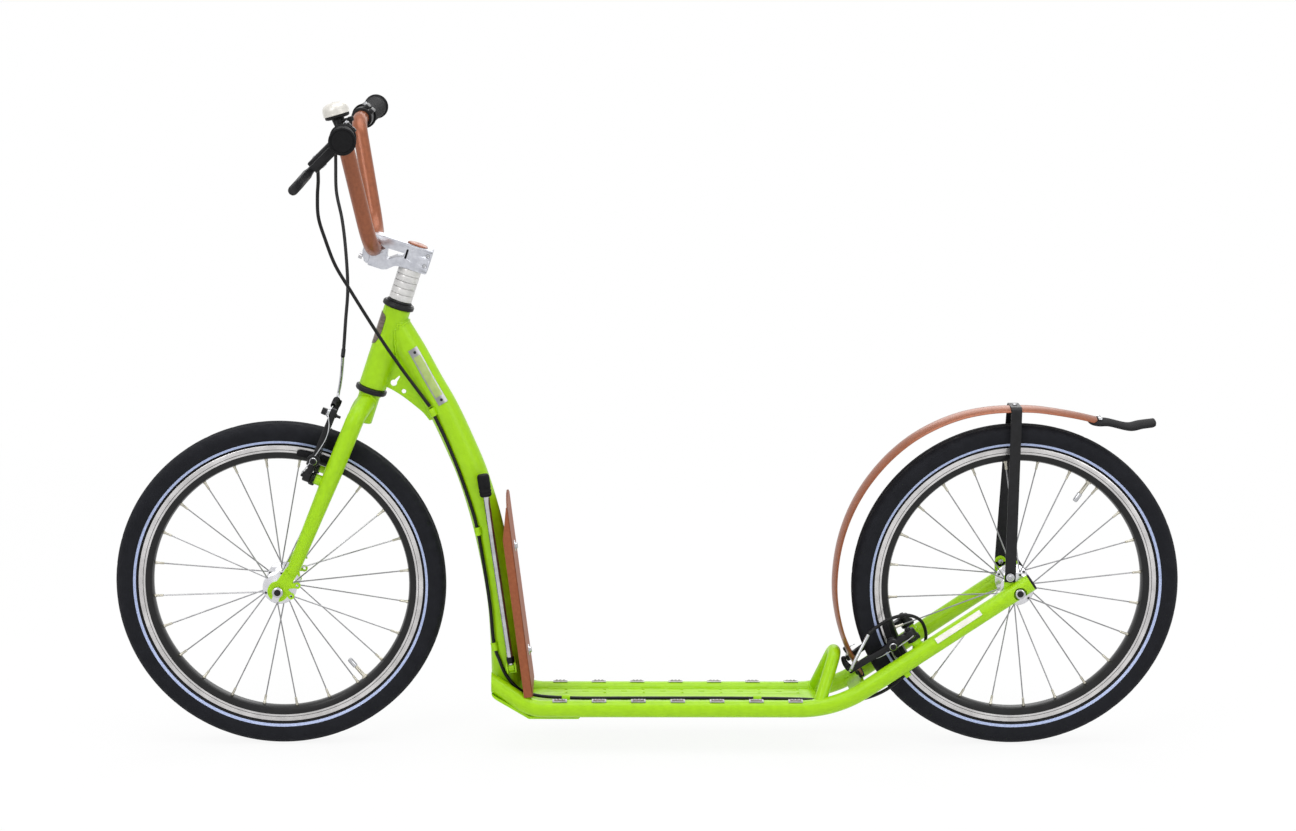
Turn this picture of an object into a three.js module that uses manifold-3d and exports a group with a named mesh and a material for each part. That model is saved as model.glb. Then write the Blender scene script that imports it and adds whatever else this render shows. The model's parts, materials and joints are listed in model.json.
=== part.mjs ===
// A kick bike: two twenty-inch spoked wheels, a low welded tube frame with a recessed
// deck, a threadless fork, a high-rise handlebar and cable-pulled linear-pull brakes.
// Millimetres, +Z up, +X to the rear wheel, +Y to the rider's right.
// The origin is on the ground, midway between the axles.
import * as THREE from 'three';
import { mergeVertices } from 'three/addons/utils/BufferGeometryUtils.js';
import Module from 'manifold-3d';

const wasm = await Module();
wasm.setup();

// Clearances and cutting overrun
const GAP = 0.3;
const RUN_GAP = 0.5;
const OVER = 6;
const POINT_MERGE = 1e-4;

// Wheels
const RIM_R = 209.2;
const RIM_DEPTH = 20.6;
const RIM_INNER_R = RIM_R - RIM_DEPTH;
const TYRE_H = 33.8;
const TYRE_R = RIM_R + TYRE_H;
const TYRE_W = 40;
const BETWEEN_TYRES = 600.8;
const WHEELBASE = 2 * TYRE_R + BETWEEN_TYRES;
const RIM_W = 24;
const BEAD_W = 20;
const HUB_OLD = 100;
const HUB_R = 13;
const HUB_FLANGE_R = 25;
const HUB_FLANGE_T = 3.2;
const HUB_FLANGE_Y = 27;
const HUB_END_R = 8.5;
const AXLE_R = 4.8;
const AXLE_NUT_R = 8;
const AXLE_NUT_T = 5.8;
const SPOKE_R = 1.1;
const SPOKE_COUNT = 24;
const SPOKE_INSET = 3.2;
const SPOKE_CROSS_DEG = 16;
const SPOKE_START_DEG = 6;
const VALVE_R = 3;
const VALVE_LENGTH = 36;
const FRONT_VALVE_DEG = -50;
const REAR_VALVE_DEG = 56;

// Steering line and head
const HEAD_ANGLE_DEG = 71.81;
const FORK_ABOVE_TYRE = 75.9;
const FORK_LENGTH = TYRE_R + FORK_ABOVE_TYRE;
const RAKE = 37.7;
const HEAD_LENGTH = 122.4;
const HEAD_R = 19.5;
const HEAD_BORE_R = 16.4;
const STEERER_R = 14.3;
const CUP_R = 23.2;
const CUP_T = 8.4;
const CUP_BORE_R = 15.2;
const RACE_R = 18.3;
const RACE_T = 3;

// Fork
const CROWN_R = 15.6;
const CROWN_DROP = 45;
const BLADE_TOP_R = 13;
const BLADE_END_R = 9.4;
const BLADE_TOP_Y = 43;
const BLADE_END_Y = 51;
const BLADE_TOP_V = 9.2;
const BLADE_END_V = 26.6;
const BLADE_SHOULDER = 58;
const BLADE_TIP = 30;
const CROWN_BEND_R = 18.7;
const CROWN_JOIN_Y = 11;
const DROPOUT_T = 4.4;
const DROPOUT_R = 15.4;
const EYELET_R = 4.8;
const EYELET_HOLE_R = 2.1;

// Spacers, stem and cap
const SPACER_R = 17;
const SPACER_COUNT = 5;
const SPACER_T = 9.7;
const SPACER_GROOVE = 0.7;
const STEM_H = 35;
const STEM_REAR = 24.5;
const STEM_W = 35;
const STEM_REACH = 58;
const STEM_DROP = 20.7;
const STEM_CHIN = 12.4;
const STEM_FRONT = 15;
const STEM_FACE_SPLIT = 2.4;
const STEM_SLOT_W = 3;
const CAP_R = 15.3;
const CAP_T = 3.2;

// Handlebar and grips
const BAR_R = 11.1;
const BAR_CLAMP_HALF = 66;
const BAR_CLAMP_BEND_R = 66;
const BAR_RISE = 151.8;
const BAR_LEAN = 84.3;
const BAR_HALF = 301;
const BAR_FLAT = 174;
const BAR_KNEE_Y = BAR_HALF - BAR_FLAT;
const BAR_KNEE_R = 34;
const BAR_END_RISE = 11.5;
const BAR_BACKSWEEP = 10.7;
const GRIP_R = 16.2;
const GRIP_END_R = 18.7;
const GRIP_END_T = 6;
const GRIP_LENGTH = 121;
const GRIP_CAP_T = 4;

// Brake levers
const PERCH_W = 24;
const PERCH_R = 15.6;
const PERCH_T = 19;
const PERCH_REACH = 62;
const LEVER_PIVOT = 46;
const LEVER_PIN_R = 3;
const LEVER_ROOT_R = 7.2;
const LEVER_T = 8;
const LEVER_W = 14;
const LEVER_LENGTH = 108;
const LEVER_ANGLE_DEG = 45;

// Bell
const BELL_INSET = 165;
const BELL_Y = BAR_HALF - BELL_INSET;
const BELL_BASE_R = 15;
const BELL_RING_W = 10;
const BELL_STAND = 31;
const BELL_R = 18.5;
const BELL_H = 17;
const BELL_WALL = 1.6;
const BELL_TILT_DEG = -16;
const THUMB_LENGTH = 17;
const THUMB_R = 4;
const THUMB_PIN_R = 1.6;

// Main tube, side tubes and deck
const MAIN_DEPTH = 44.5;
const MAIN_WIDTH = 42;
const MAIN_FOOT_X = 210.8;
const MAIN_JOIN_SHARE = 0.852;
const SIDE_R = 12.7;
const RAIL_Z = 64.5;
const RAIL_Y = 49.5;
const STAY_Y = 52.3;
const STAY_ANGLE_DEG = 34.4;
const STAY_OVERHANG = 22;
const STAY_ABOVE_AXLE = 3.9;
const STAY_BEND_R = 170;
const NOSE_X = 173;
const NOSE_ANGLE_DEG = 31;
const NOSE_LENGTH = 62;
const NOSE_BEND_R = 60;
const DECK_T = 2;
const DECK_ABOVE_RAIL = 5.7;
const DECK_PAST_HOOP = 2;
const DECK_HOLE_R = 2.2;
const DECK_PITCH = 58.1;
const DECK_FIRST_X = 123;
const DECK_ROWS = 7;
const SKID_T = 3;
const SKID_REAR_X = 101;
const PLUG_T = 3;

// Dropouts of the stays, fender tabs
const STAY_WALL_T = 4;
const STAY_POCKET_R = 10;
const STAY_NOTCH_R = 17;
const TAB_R = 8.4;
const TAB_T = 3;
const TAB_X = 14.4;
const TAB_Z = 23;

// Hoop, bridge and gusset
const HOOP_R = 9.5;
const HOOP_BEFORE_BEND = 25.8;
const HOOP_RISE = 100;
const HOOP_LEAN = 36;
const HOOP_BEND_R = 19.5;
const BRIDGE_T = 4;
const BRIDGE_L = 26;
const BRIDGE_CLEAR = 48;
const BRIDGE_AHEAD = TYRE_R + BRIDGE_CLEAR;
const BRIDGE_LIFT = 3;
const GUSSET_T = 4;
const GUSSET_HOLE_R = 4.6;

// Fender, strap and flap
const FENDER_HALF_W = 21;
const FENDER_ARCH = 5.4;
const FENDER_T = 1.6;
const STRAP_W = 16;
const STRAP_T = 2.5;
const STRAP_BOLT_R = 4;
const FLAP_HALF_W = 23;
const FLAP_T = 2.6;

// Splash guard
const GUARD_HALF_W = 55;
const GUARD_WING = 13;
const GUARD_T = 1.6;
const GUARD_TOP_Z = 382;
const GUARD_FOOT_Z = 84;
const GUARD_FOOT_X = 171.3;
const GUARD_LEAN_DEG = 7.35;
const GUARD_BOLT_Z = 141;
const GUARD_UPPER_Z = 300;
const GUARD_BOSS_R = 7;
const GUARD_BOLT_R = 5;
const GUARD_BOLT_T = 4.5;

// Side stand
const STAND_X = 203.2;
const STAND_Y = 31;
const STAND_Z = 122;
const STAND_LEAN_DEG = 8.1;
const STAND_R = 4.6;
const STAND_LENGTH = 270;
const STAND_EYE_R = 6.4;
const STAND_EYE_T = 9;
const STAND_PIN_R = 2.6;
const STAND_CHEEK_T = 2.2;
const FOOT_R = 9;
const FOOT_L = 33;
const FOOT_SEAT = 8;

// Linear-pull brakes
const STUD_Y = 41;
const STUD_R = 4;
const BOSS_R = 7.8;
const FRONT_BOSS = 27;
const FRONT_STUD_INSIDE = 35.2;
const FRONT_STUD_ALONG = RIM_R - FRONT_STUD_INSIDE - BLADE_TIP;
const STUD_LENGTH = 15;
const ARM_T = 11;
const ARM_PIVOT_R = 9;
const ARM_LENGTH = 105;
const ARM_W = 10;
const ARM_TOP_Y = 31;
const PAD_INSIDE = 7.6;
const PAD_L = 56;
const PAD_H = 9;
const PAD_T = 9.5;
const PAD_GAP = 1.7;
const PAD_POST_R = 3;
const REAR_STUD_INSIDE = 41.7;
const REAR_STUD_ALONG = RIM_R - REAR_STUD_INSIDE;
const REAR_BOSS = 26;
const CABLE_R = 2.5;

// Facets round a circle
const FINE = 40;
const ROUND = 20;
const MEDIUM = 12;
const COARSE = 10;
const TINY = 8;
const HEXAGON = 6;
const SQUARE = 4;

const deg = THREE.MathUtils.degToRad;
const SIDES = [-1, 1];
const vec = (x, y, z) => new THREE.Vector3(x, y, z);
const CENTRE = vec(0, 0, 0);
const X_AXIS = vec(1, 0, 0);
const Y_AXIS = vec(0, 1, 0);
const flipY = (p) => vec(p.x, -p.y, p.z);
const atY = (p, y) => vec(p.x, y, p.z);
const go = (from, direction, length) => from.clone().addScaledVector(direction, length);
const atAngle = (degrees) => vec(Math.cos(deg(degrees)), 0, Math.sin(deg(degrees)));
const squareTo = (v, axis) => go(v, axis, -v.dot(axis)).normalize();
const bothWays = (points) => [...points.map(([a, b]) => [-a, b]).reverse(), ...points];
const outlineShape = (points) => new THREE.Shape(points.map(([a, b]) => new THREE.Vector2(a, b)));
const outlineHole = (points) => new THREE.Path(points.map(([a, b]) => new THREE.Vector2(a, b)));

// Solids
function stripped(geometry) {
  const bare = geometry.clone();
  bare.deleteAttribute('normal');
  bare.deleteAttribute('uv');
  return bare;
}

function toSolid(geometry) {
  const bare = stripped(geometry.index ? geometry.toNonIndexed() : geometry);
  const merged = mergeVertices(bare, POINT_MERGE);
  return new wasm.Manifold(new wasm.Mesh({
    numProp: 3,
    vertProperties: new Float32Array(merged.attributes.position.array),
    triVerts: new Uint32Array(merged.index.array),
  }));
}

function toGeometry(solid) {
  const mesh = solid.getMesh();
  const points = [];
  for (let i = 0; i < mesh.vertProperties.length; i += mesh.numProp) {
    points.push(mesh.vertProperties[i], mesh.vertProperties[i + 1], mesh.vertProperties[i + 2]);
  }
  const geometry = new THREE.BufferGeometry();
  geometry.setAttribute('position', new THREE.Float32BufferAttribute(points, 3));
  geometry.setIndex(Array.from(mesh.triVerts));
  return geometry;
}

const join = (...geometries) => toGeometry(geometries.map(toSolid).reduce((a, b) => a.add(b)));
const cut = (body, ...tools) => toGeometry(tools.map(toSolid).reduce((a, b) => a.subtract(b), toSolid(body)));

// Turns the faces of an indexed geometry round
function turnedOver(geometry) {
  const index = geometry.index.array;
  for (let i = 0; i < index.length; i += 3) [index[i], index[i + 1]] = [index[i + 1], index[i]];
  return geometry;
}

// A copy on the other side of the plane y = 0, with its faces turned to point out again
function mirrorY(geometry) {
  const copy = mergeVertices(stripped(geometry), POINT_MERGE);
  const position = copy.attributes.position;
  for (let i = 0; i < position.count; i += 1) position.setY(i, -position.getY(i));
  return turnedOver(copy);
}

// Simple solids along an axis
function rod(r, from, to, sides = ROUND) {
  const axis = to.clone().sub(from);
  const geometry = new THREE.CylinderGeometry(r, r, axis.length(), sides);
  geometry.translate(0, axis.length() / 2, 0);
  geometry.applyQuaternion(new THREE.Quaternion().setFromUnitVectors(Y_AXIS, axis.normalize()));
  geometry.translate(from.x, from.y, from.z);
  return geometry;
}

const rodAlong = (r, from, direction, d0, d1, sides) => (
  rod(r, go(from, direction, d0), go(from, direction, d1), sides)
);
const rodAcross = (r, p, y0, y1, sides) => rod(r, atY(p, y0), atY(p, y1), sides);

function block(x0, x1, y0, y1, z0, z1) {
  const geometry = new THREE.BoxGeometry(x1 - x0, y1 - y0, z1 - z0);
  geometry.translate((x0 + x1) / 2, (y0 + y1) / 2, (z0 + z1) / 2);
  return geometry;
}

// A turned solid about local Y, from [radius, height] points, and one laid along a direction
const turned = (points, sides = ROUND) => (
  new THREE.LatheGeometry(points.map(([r, h]) => new THREE.Vector2(r, h)), sides)
);
function turnedAlong(points, from, direction, sides) {
  const body = turned(points, sides);
  body.applyQuaternion(new THREE.Quaternion().setFromUnitVectors(Y_AXIS, direction));
  body.translate(from.x, from.y, from.z);
  return body;
}

function ring(outer, inner, h0, h1, sides = ROUND) {
  return turned([[inner, h0], [outer, h0], [outer, h1], [inner, h1], [inner, h0]], sides);
}

// A flat outline of [a, b] points in the XZ plane, extruded from y0 to y1
function plateXZ(outline, y0, y1, holes = []) {
  const shape = outlineShape(outline);
  for (const hole of holes) shape.holes.push(outlineHole(hole));
  const geometry = new THREE.ExtrudeGeometry(shape, { depth: y1 - y0, bevelEnabled: false });
  geometry.rotateX(Math.PI / 2);
  geometry.translate(0, y1, 0);
  return geometry;
}

const circlePoints = (x, z, r, sides) => Array.from({ length: sides }, (_, i) => {
  const a = (2 * Math.PI * i) / sides;
  return [x + r * Math.cos(a), z + r * Math.sin(a)];
});

// A path through listed points, stepped point by point
class ListedPath extends THREE.Curve {
  constructor(points) {
    super();
    this.points = points;
  }

  getPoint(t) {
    const f = t * (this.points.length - 1);
    const i = Math.min(Math.floor(f), this.points.length - 2);
    return this.points[i].clone().lerp(this.points[i + 1], f - i);
  }

  getPointAt(t) { return this.getPoint(t); }

  getSpacedPoints() { return this.points; }

  getTangentAt(t) {
    const i = Math.round(t * (this.points.length - 1));
    const a = this.points[Math.max(i - 1, 0)];
    const b = this.points[Math.min(i + 1, this.points.length - 1)];
    return b.clone().sub(a).normalize();
  }
}

function sweep(points, outline) {
  const options = { steps: points.length - 1, extrudePath: new ListedPath(points), bevelEnabled: false };
  return new THREE.ExtrudeGeometry(outlineShape(outline), options);
}

const tube = (points, r, sides = MEDIUM) => sweep(points, circlePoints(0, 0, r, sides));

// Corner points joined by straight runs, each inner corner rounded to its radius
function rounded(corners, radius, steps = 8) {
  const out = [corners[0]];
  for (let i = 1; i < corners.length - 1; i += 1) {
    const before = corners[i - 1].clone().sub(corners[i]).normalize();
    const after = corners[i + 1].clone().sub(corners[i]).normalize();
    const half = before.angleTo(after) / 2;
    const reach = radius / Math.tan(half);
    const centre = go(corners[i], before.clone().add(after).normalize(), radius / Math.sin(half));
    const start = go(corners[i], before, reach).sub(centre);
    const end = go(corners[i], after, reach).sub(centre);
    const turn = start.angleTo(end);
    for (let k = 0; k <= steps; k += 1) {
      const a = Math.sin((1 - k / steps) * turn) / Math.sin(turn);
      const b = Math.sin((k / steps) * turn) / Math.sin(turn);
      out.push(centre.clone().addScaledVector(start, a).addScaledVector(end, b));
    }
  }
  out.push(corners[corners.length - 1]);
  return out;
}

// Lays a geometry's x, y and z axes along three directions at a point
function layOn(geometry, x, y, z, origin) {
  const placed = geometry.clone();
  placed.applyMatrix4(new THREE.Matrix4().makeBasis(x, y, z));
  placed.translate(origin.x, origin.y, origin.z);
  return placed;
}

// Materials
const paint = new THREE.MeshStandardMaterial({ color: 0xa6e00f, roughness: 0.38, metalness: 0 });
const copper = new THREE.MeshStandardMaterial({ color: 0xa8603a, roughness: 0.3, metalness: 0.55 });
const silver = new THREE.MeshStandardMaterial({ color: 0xd3d4d8, roughness: 0.3, metalness: 0.9 });
const steel = new THREE.MeshStandardMaterial({ color: 0xb4b6b9, roughness: 0.28, metalness: 1 });
const black = new THREE.MeshStandardMaterial({ color: 0x17171a, roughness: 0.5, metalness: 0.2 });
const rubber = new THREE.MeshStandardMaterial({ color: 0x1b1b1d, roughness: 0.85, metalness: 0 });
const gripRubber = new THREE.MeshStandardMaterial({ color: 0x141416, roughness: 0.9, metalness: 0 });

const bike = new THREE.Group();
bike.name = 'kick_bike';
const frameGroup = new THREE.Group();
const steering = new THREE.Group();
bike.add(frameGroup, steering);

function add(group, name, geometry, material) {
  const mesh = new THREE.Mesh(stripped(geometry), material);
  mesh.name = name;
  group.add(mesh);
  return mesh;
}

function addPair(group, name, geometry, material) {
  add(group, `right_${name}`, geometry, material);
  add(group, `left_${name}`, mirrorY(geometry), material);
}

// Steering line: local x is square to the line and to the rear, local z runs up the line,
// and the local origin is the lower end of the head tube
const axleX = WHEELBASE / 2;
const hubHalf = HUB_OLD / 2;
const headTilt = Math.PI / 2 - deg(HEAD_ANGLE_DEG);
const up = vec(Math.sin(headTilt), 0, Math.cos(headTilt));
const back = vec(Math.cos(headTilt), 0, -Math.sin(headTilt));
const frontAxle = vec(-axleX, 0, TYRE_R);
const rearAxle = vec(axleX, 0, TYRE_R);
const headFoot = go(go(frontAxle, up, FORK_LENGTH), back, RAKE);
steering.position.copy(headFoot);
steering.rotation.y = headTilt;
const turnToWorld = (v) => vec(0, v.y, 0).addScaledVector(back, v.x).addScaledVector(up, v.z);
const toWorld = (v) => turnToWorld(v).add(headFoot);
const upright = (geometry) => geometry.clone().rotateX(Math.PI / 2);
function alongSteer(geometry) {
  const placed = geometry.clone();
  placed.rotateY(headTilt);
  placed.translate(headFoot.x, headFoot.y, headFoot.z);
  return placed;
}

// Head tube and its cups
const headGroup = new THREE.Group();
headGroup.position.copy(headFoot);
headGroup.rotation.y = headTilt;
frameGroup.add(headGroup);
const cupFoot = -CUP_T / 2;
const headStart = CUP_T / 2 + GAP;
const headEnd = headStart + HEAD_LENGTH;
const upperCupStart = headEnd + GAP;
const upperCupEnd = upperCupStart + CUP_T;
const cupChamfer = CUP_T / 4;
const cup = (h0, h1) => upright(turned([
  [CUP_BORE_R, h0], [CUP_R - cupChamfer, h0], [CUP_R, h0 + cupChamfer],
  [CUP_R, h1 - cupChamfer], [CUP_R - cupChamfer, h1], [CUP_BORE_R, h1], [CUP_BORE_R, h0],
]));
add(headGroup, 'head_tube', upright(ring(HEAD_R, HEAD_BORE_R, headStart, headEnd)), paint);
add(headGroup, 'lower_cup', cup(cupFoot, CUP_T / 2), black);
add(headGroup, 'upper_cup', cup(upperCupStart, upperCupEnd), black);

// Main tube: an oval tube that leaves the head tube, curves down and ends at the nose
const mainShares = [
  [0, 0], [0.159, 0.0744], [0.3086, 0.1532], [0.4413, 0.2199], [0.6007, 0.3186], [0.6987, 0.3874],
  [0.8302, 0.5156], [0.9531, 0.7006], [0.989, 0.8361], [1, 1],
];
const mainTop = go(headFoot, up, MAIN_JOIN_SHARE * HEAD_LENGTH);
const mainFoot = vec(-MAIN_FOOT_X, 0, RAIL_Z - SIDE_R);
const mainCurve = new THREE.CatmullRomCurve3(mainShares.map(([shareX, shareZ]) => vec(
  THREE.MathUtils.lerp(mainTop.x, mainFoot.x, shareX),
  0,
  THREE.MathUtils.lerp(mainTop.z, mainFoot.z, shareZ),
)));
const mainPoints = mainCurve.getSpacedPoints(ROUND);
const ovalSides = 16;
const oval = (grow) => Array.from({ length: ovalSides }, (_, i) => {
  const a = (2 * Math.PI * i) / ovalSides;
  return [(MAIN_WIDTH / 2 + grow) * Math.cos(a), (MAIN_DEPTH / 2 + grow) * Math.sin(a)];
});
const mainSweep = (grow) => sweep(mainPoints, oval(grow));
const headClearH = 2 * (HEAD_LENGTH + CUP_R);
const headClearBody = new THREE.CylinderGeometry(HEAD_R + GAP, HEAD_R + GAP, headClearH, ROUND);
const headClear = alongSteer(upright(headClearBody));

// The middle of the main tube at a height
function mainAt(z) {
  const i = mainPoints.findIndex((p) => p.z < z);
  const [above, below] = [mainPoints[i - 1], mainPoints[i]];
  return above.clone().lerp(below, (above.z - z) / (above.z - below.z));
}

// Side tubes: nose, rail along the deck, bend and stay to the rear axle, one bent tube a side
const staySlope = deg(STAY_ANGLE_DEG);
const stayDir = vec(Math.cos(staySlope), 0, Math.sin(staySlope));
const stayUp = vec(-Math.sin(staySlope), 0, Math.cos(staySlope));
const onStay = (d, lift) => go(go(rearAxle, stayDir, d), stayUp, lift);
const stayEnd = onStay(STAY_OVERHANG, STAY_ABOVE_AXLE);
const bendX = stayEnd.x - (stayEnd.z - RAIL_Z) / Math.tan(staySlope);
const noseSlope = deg(NOSE_ANGLE_DEG);
const noseY = MAIN_WIDTH / 2 + SIDE_R + GAP;
const noseKnee = vec(-NOSE_X, RAIL_Y, RAIL_Z);
const noseRunShare = 1.4;
const noseEnd = vec(-NOSE_X - NOSE_LENGTH, noseY, RAIL_Z + NOSE_LENGTH * Math.tan(noseSlope));
const sideLine = [
  noseKnee.clone().lerp(noseEnd, noseRunShare),
  noseKnee,
  vec(bendX, RAIL_Y, RAIL_Z),
  atY(stayEnd, STAY_Y),
];
const sidePoints = [
  ...rounded(sideLine.slice(0, 3), NOSE_BEND_R, 5).slice(0, -1),
  ...rounded(sideLine.slice(1, 4), STAY_BEND_R, 9).slice(1),
];
const sideSweep = (grow) => tube(sidePoints, SIDE_R + grow);
const bothSides = (grow) => [sideSweep(grow), mirrorY(sideSweep(grow))];
const mainFront = MAIN_FOOT_X + MAIN_DEPTH / 2;
const railOut = RAIL_Y + 2 * SIDE_R;
const noseTrim = block(-mainFront - 4 * SIDE_R, -mainFront, -railOut, railOut, 0, 4 * RAIL_Z);

// Skid plate: a slanted underside of the nose, level under the deck
const underZ = (x) => RAIL_Z - SIDE_R / Math.cos(noseSlope) + (-NOSE_X - x) * Math.tan(noseSlope);
const skidTop = RAIL_Z - SIDE_R - GAP;
const skidKneeX = -NOSE_X - (skidTop - underZ(-NOSE_X) + GAP) / Math.tan(noseSlope);
const skidFrontZ = underZ(-mainFront) - GAP;
add(frameGroup, 'skid_plate', plateXZ([
  [-mainFront, skidFrontZ],
  [skidKneeX, skidTop],
  [-SKID_REAR_X, skidTop],
  [-SKID_REAR_X - SKID_T, skidTop - SKID_T],
  [skidKneeX - SKID_T * Math.tan(noseSlope / 2), skidTop - SKID_T],
  [-mainFront, skidFrontZ - SKID_T / Math.cos(noseSlope)],
], -RAIL_Y, RAIL_Y), paint);
const beyondNose = -mainFront - 4 * SIDE_R;
const underTool = plateXZ([
  [beyondNose, underZ(beyondNose)], [skidKneeX, skidTop + GAP], [0, skidTop + GAP],
  [0, -RAIL_Z], [beyondNose, -RAIL_Z],
], -2 * RAIL_Y, 2 * RAIL_Y);

// Bosses on the main tube that carry the splash guard
const guardLean = deg(GUARD_LEAN_DEG);
const guardX = (z) => -GUARD_FOOT_X - (z - GUARD_FOOT_Z) * Math.tan(guardLean);
const guardFront = (z) => guardX(z) - GUARD_T - GAP;
const guardBoss = (z) => rod(GUARD_BOSS_R, atY(mainAt(z), 0), vec(guardFront(z), 0, z), COARSE);
const guardFarZ = 2 * GUARD_TOP_Z;
const guardFace = plateXZ([
  [guardFront(0), 0], [guardX(0) + 2 * GUARD_WING, 0],
  [guardX(guardFarZ) + 2 * GUARD_WING, guardFarZ], [guardFront(guardFarZ), guardFarZ],
], -2 * GUARD_BOSS_R, 2 * GUARD_BOSS_R);
const mainBody = join(mainSweep(0), guardBoss(GUARD_BOLT_Z), guardBoss(GUARD_UPPER_Z));
add(frameGroup, 'main_tube', cut(mainBody, headClear, underTool, guardFace), paint);

// Stay ends: axle pocket outside, hub notch inside, axle slot, fender tab and brake boss
const tabPlace = rearAxle.clone().add(vec(-TAB_X, 0, TAB_Z));
const rearStudAt = onStay(-REAR_STUD_ALONG, STAY_ABOVE_AXLE);
function sideTube() {
  const tab = join(
    rodAcross(TAB_R, tabPlace, hubHalf - TAB_T, hubHalf, MEDIUM),
    block(tabPlace.x - TAB_R, tabPlace.x + TAB_R, hubHalf - TAB_T, hubHalf, tabPlace.z - TAB_Z, tabPlace.z),
  );
  const stud = atY(rearStudAt, STUD_Y);
  const slotDeep = STAY_POCKET_R + SIDE_R;
  const slot = new THREE.BoxGeometry(2 * (AXLE_R + GAP), STAY_Y, slotDeep);
  slot.translate(0, hubHalf, -slotDeep / 2);
  slot.rotateY(-staySlope);
  slot.translate(rearAxle.x, 0, rearAxle.z);
  return cut(
    join(
      sideSweep(0), tab, rodAlong(BOSS_R, stud, stayUp, 0, REAR_BOSS, MEDIUM),
      rodAcross(BOSS_R, rearStudAt, RAIL_Y - BOSS_R / 4, STUD_Y, MEDIUM),
      rodAlong(STUD_R, stud, stayUp, 0, REAR_BOSS + STUD_LENGTH, COARSE),
    ),
    rodAcross(STAY_POCKET_R, rearAxle, hubHalf + STAY_WALL_T, hubHalf + STAY_Y),
    rodAcross(STAY_NOTCH_R, rearAxle, 0, hubHalf),
    rodAcross(AXLE_R + GAP, rearAxle, 0, hubHalf + STAY_Y, COARSE),
    slot, mainSweep(GAP), noseTrim,
  );
}
addPair(frameGroup, 'side_tube', sideTube(), paint);

// Black plugs in the open ends of the stays
const sideDir = atY(stayEnd, STAY_Y).sub(vec(bendX, RAIL_Y, RAIL_Z)).normalize();
const endPlug = rodAlong(SIDE_R, atY(stayEnd, STAY_Y), sideDir, GAP, GAP + PLUG_T, MEDIUM);
addPair(frameGroup, 'end_plug', endPlug, black);

// Head gusset: a flat web under the main tube with two round holes
const gussetShares = [
  [0, 0.06], [0.1874, 0.0335], [0.2394, 0.013], [0.3884, -0.069], [0.5595, -0.19], [0.6767, -0.283],
  [0.7575, -0.375], [0.8652, -0.35], [0.8882, -0.214], [0.7056, 0.1], [0.3912, 0.614], [0.1442, 0.6],
];
const gussetHoleShares = [[0.2942, 0.079, 1], [0.4258, -0.022, 0.68]];
const gussetLowShare = 0.36;
const gussetSpan = mainAt(headFoot.z - gussetLowShare * HEAD_LENGTH).x - headFoot.x;
const onGusset = ([shareX, shareZ]) => [headFoot.x + shareX * gussetSpan, headFoot.z + shareZ * HEAD_LENGTH];
const gussetHoles = gussetHoleShares.map((share) => (
  circlePoints(...onGusset(share), share[2] * GUSSET_HOLE_R, COARSE)
));
const gussetWeb = plateXZ(gussetShares.map(onGusset), -GUSSET_T / 2, GUSSET_T / 2, gussetHoles);
add(frameGroup, 'head_gusset', cut(gussetWeb, headClear, mainSweep(GAP)), paint);

// Recessed deck plate with its rows of small holes
const hoopX = bendX - HOOP_BEFORE_BEND;
const deckRearX = hoopX + DECK_PAST_HOOP;
const deckTop = RAIL_Z + DECK_ABOVE_RAIL;
const deckHalf = RAIL_Y - Math.sqrt(SIDE_R ** 2 - (DECK_ABOVE_RAIL - DECK_T) ** 2) - GAP;
const deckEdge = [
  [-NOSE_X - 2 * SIDE_R, MAIN_WIDTH * 0.42], [-NOSE_X - SIDE_R, deckHalf * 0.76],
  [-NOSE_X + SIDE_R, deckHalf], [deckRearX, deckHalf],
];
const deckShape = outlineShape([...deckEdge, ...deckEdge.map(([x, y]) => [x, -y]).reverse()]);
const deckHole = (x, y) => deckShape.holes.push(outlineHole(circlePoints(x, y, DECK_HOLE_R, SQUARE)));
const rowHoleShares = [0.38, 0.84];
const betweenHoleShare = 0.62;
for (let i = 0; i < DECK_ROWS; i += 1) {
  const x = -DECK_FIRST_X + i * DECK_PITCH;
  for (const side of SIDES) {
    for (const share of rowHoleShares) deckHole(x, side * share * deckHalf);
    if (i < DECK_ROWS - 1) deckHole(x + DECK_PITCH / 2, side * betweenHoleShare * deckHalf);
  }
}
const deckSheet = new THREE.ExtrudeGeometry(deckShape, { depth: DECK_T, bevelEnabled: false });
deckSheet.translate(0, 0, deckTop - DECK_T);
add(frameGroup, 'deck_plate', cut(deckSheet, mainSweep(GAP)), paint);

// Hoop over the rear of the deck
const hoopLine = [
  vec(hoopX, -RAIL_Y, RAIL_Z), vec(hoopX + HOOP_LEAN, 0, RAIL_Z + HOOP_RISE), vec(hoopX, RAIL_Y, RAIL_Z),
];
const hoopTube = tube(rounded(hoopLine, HOOP_BEND_R), HOOP_R);
const deckRoom = block(0, deckRearX + GAP, -deckHalf - GAP, deckHalf + GAP, 0, deckTop + GAP);
add(frameGroup, 'rear_hoop', cut(hoopTube, ...bothSides(GAP), deckRoom), paint);

// Bridge plate between the stays, ahead of the rear tyre
const bridgeAt = onStay(BRIDGE_L / 2 - BRIDGE_AHEAD, STAY_ABOVE_AXLE + BRIDGE_LIFT);
const bridge = new THREE.BoxGeometry(BRIDGE_L, 2 * RAIL_Y, BRIDGE_T);
bridge.rotateY(-staySlope);
bridge.translate(bridgeAt.x, 0, bridgeAt.z);
add(frameGroup, 'stay_bridge', cut(bridge, ...bothSides(GAP)), paint);

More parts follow.
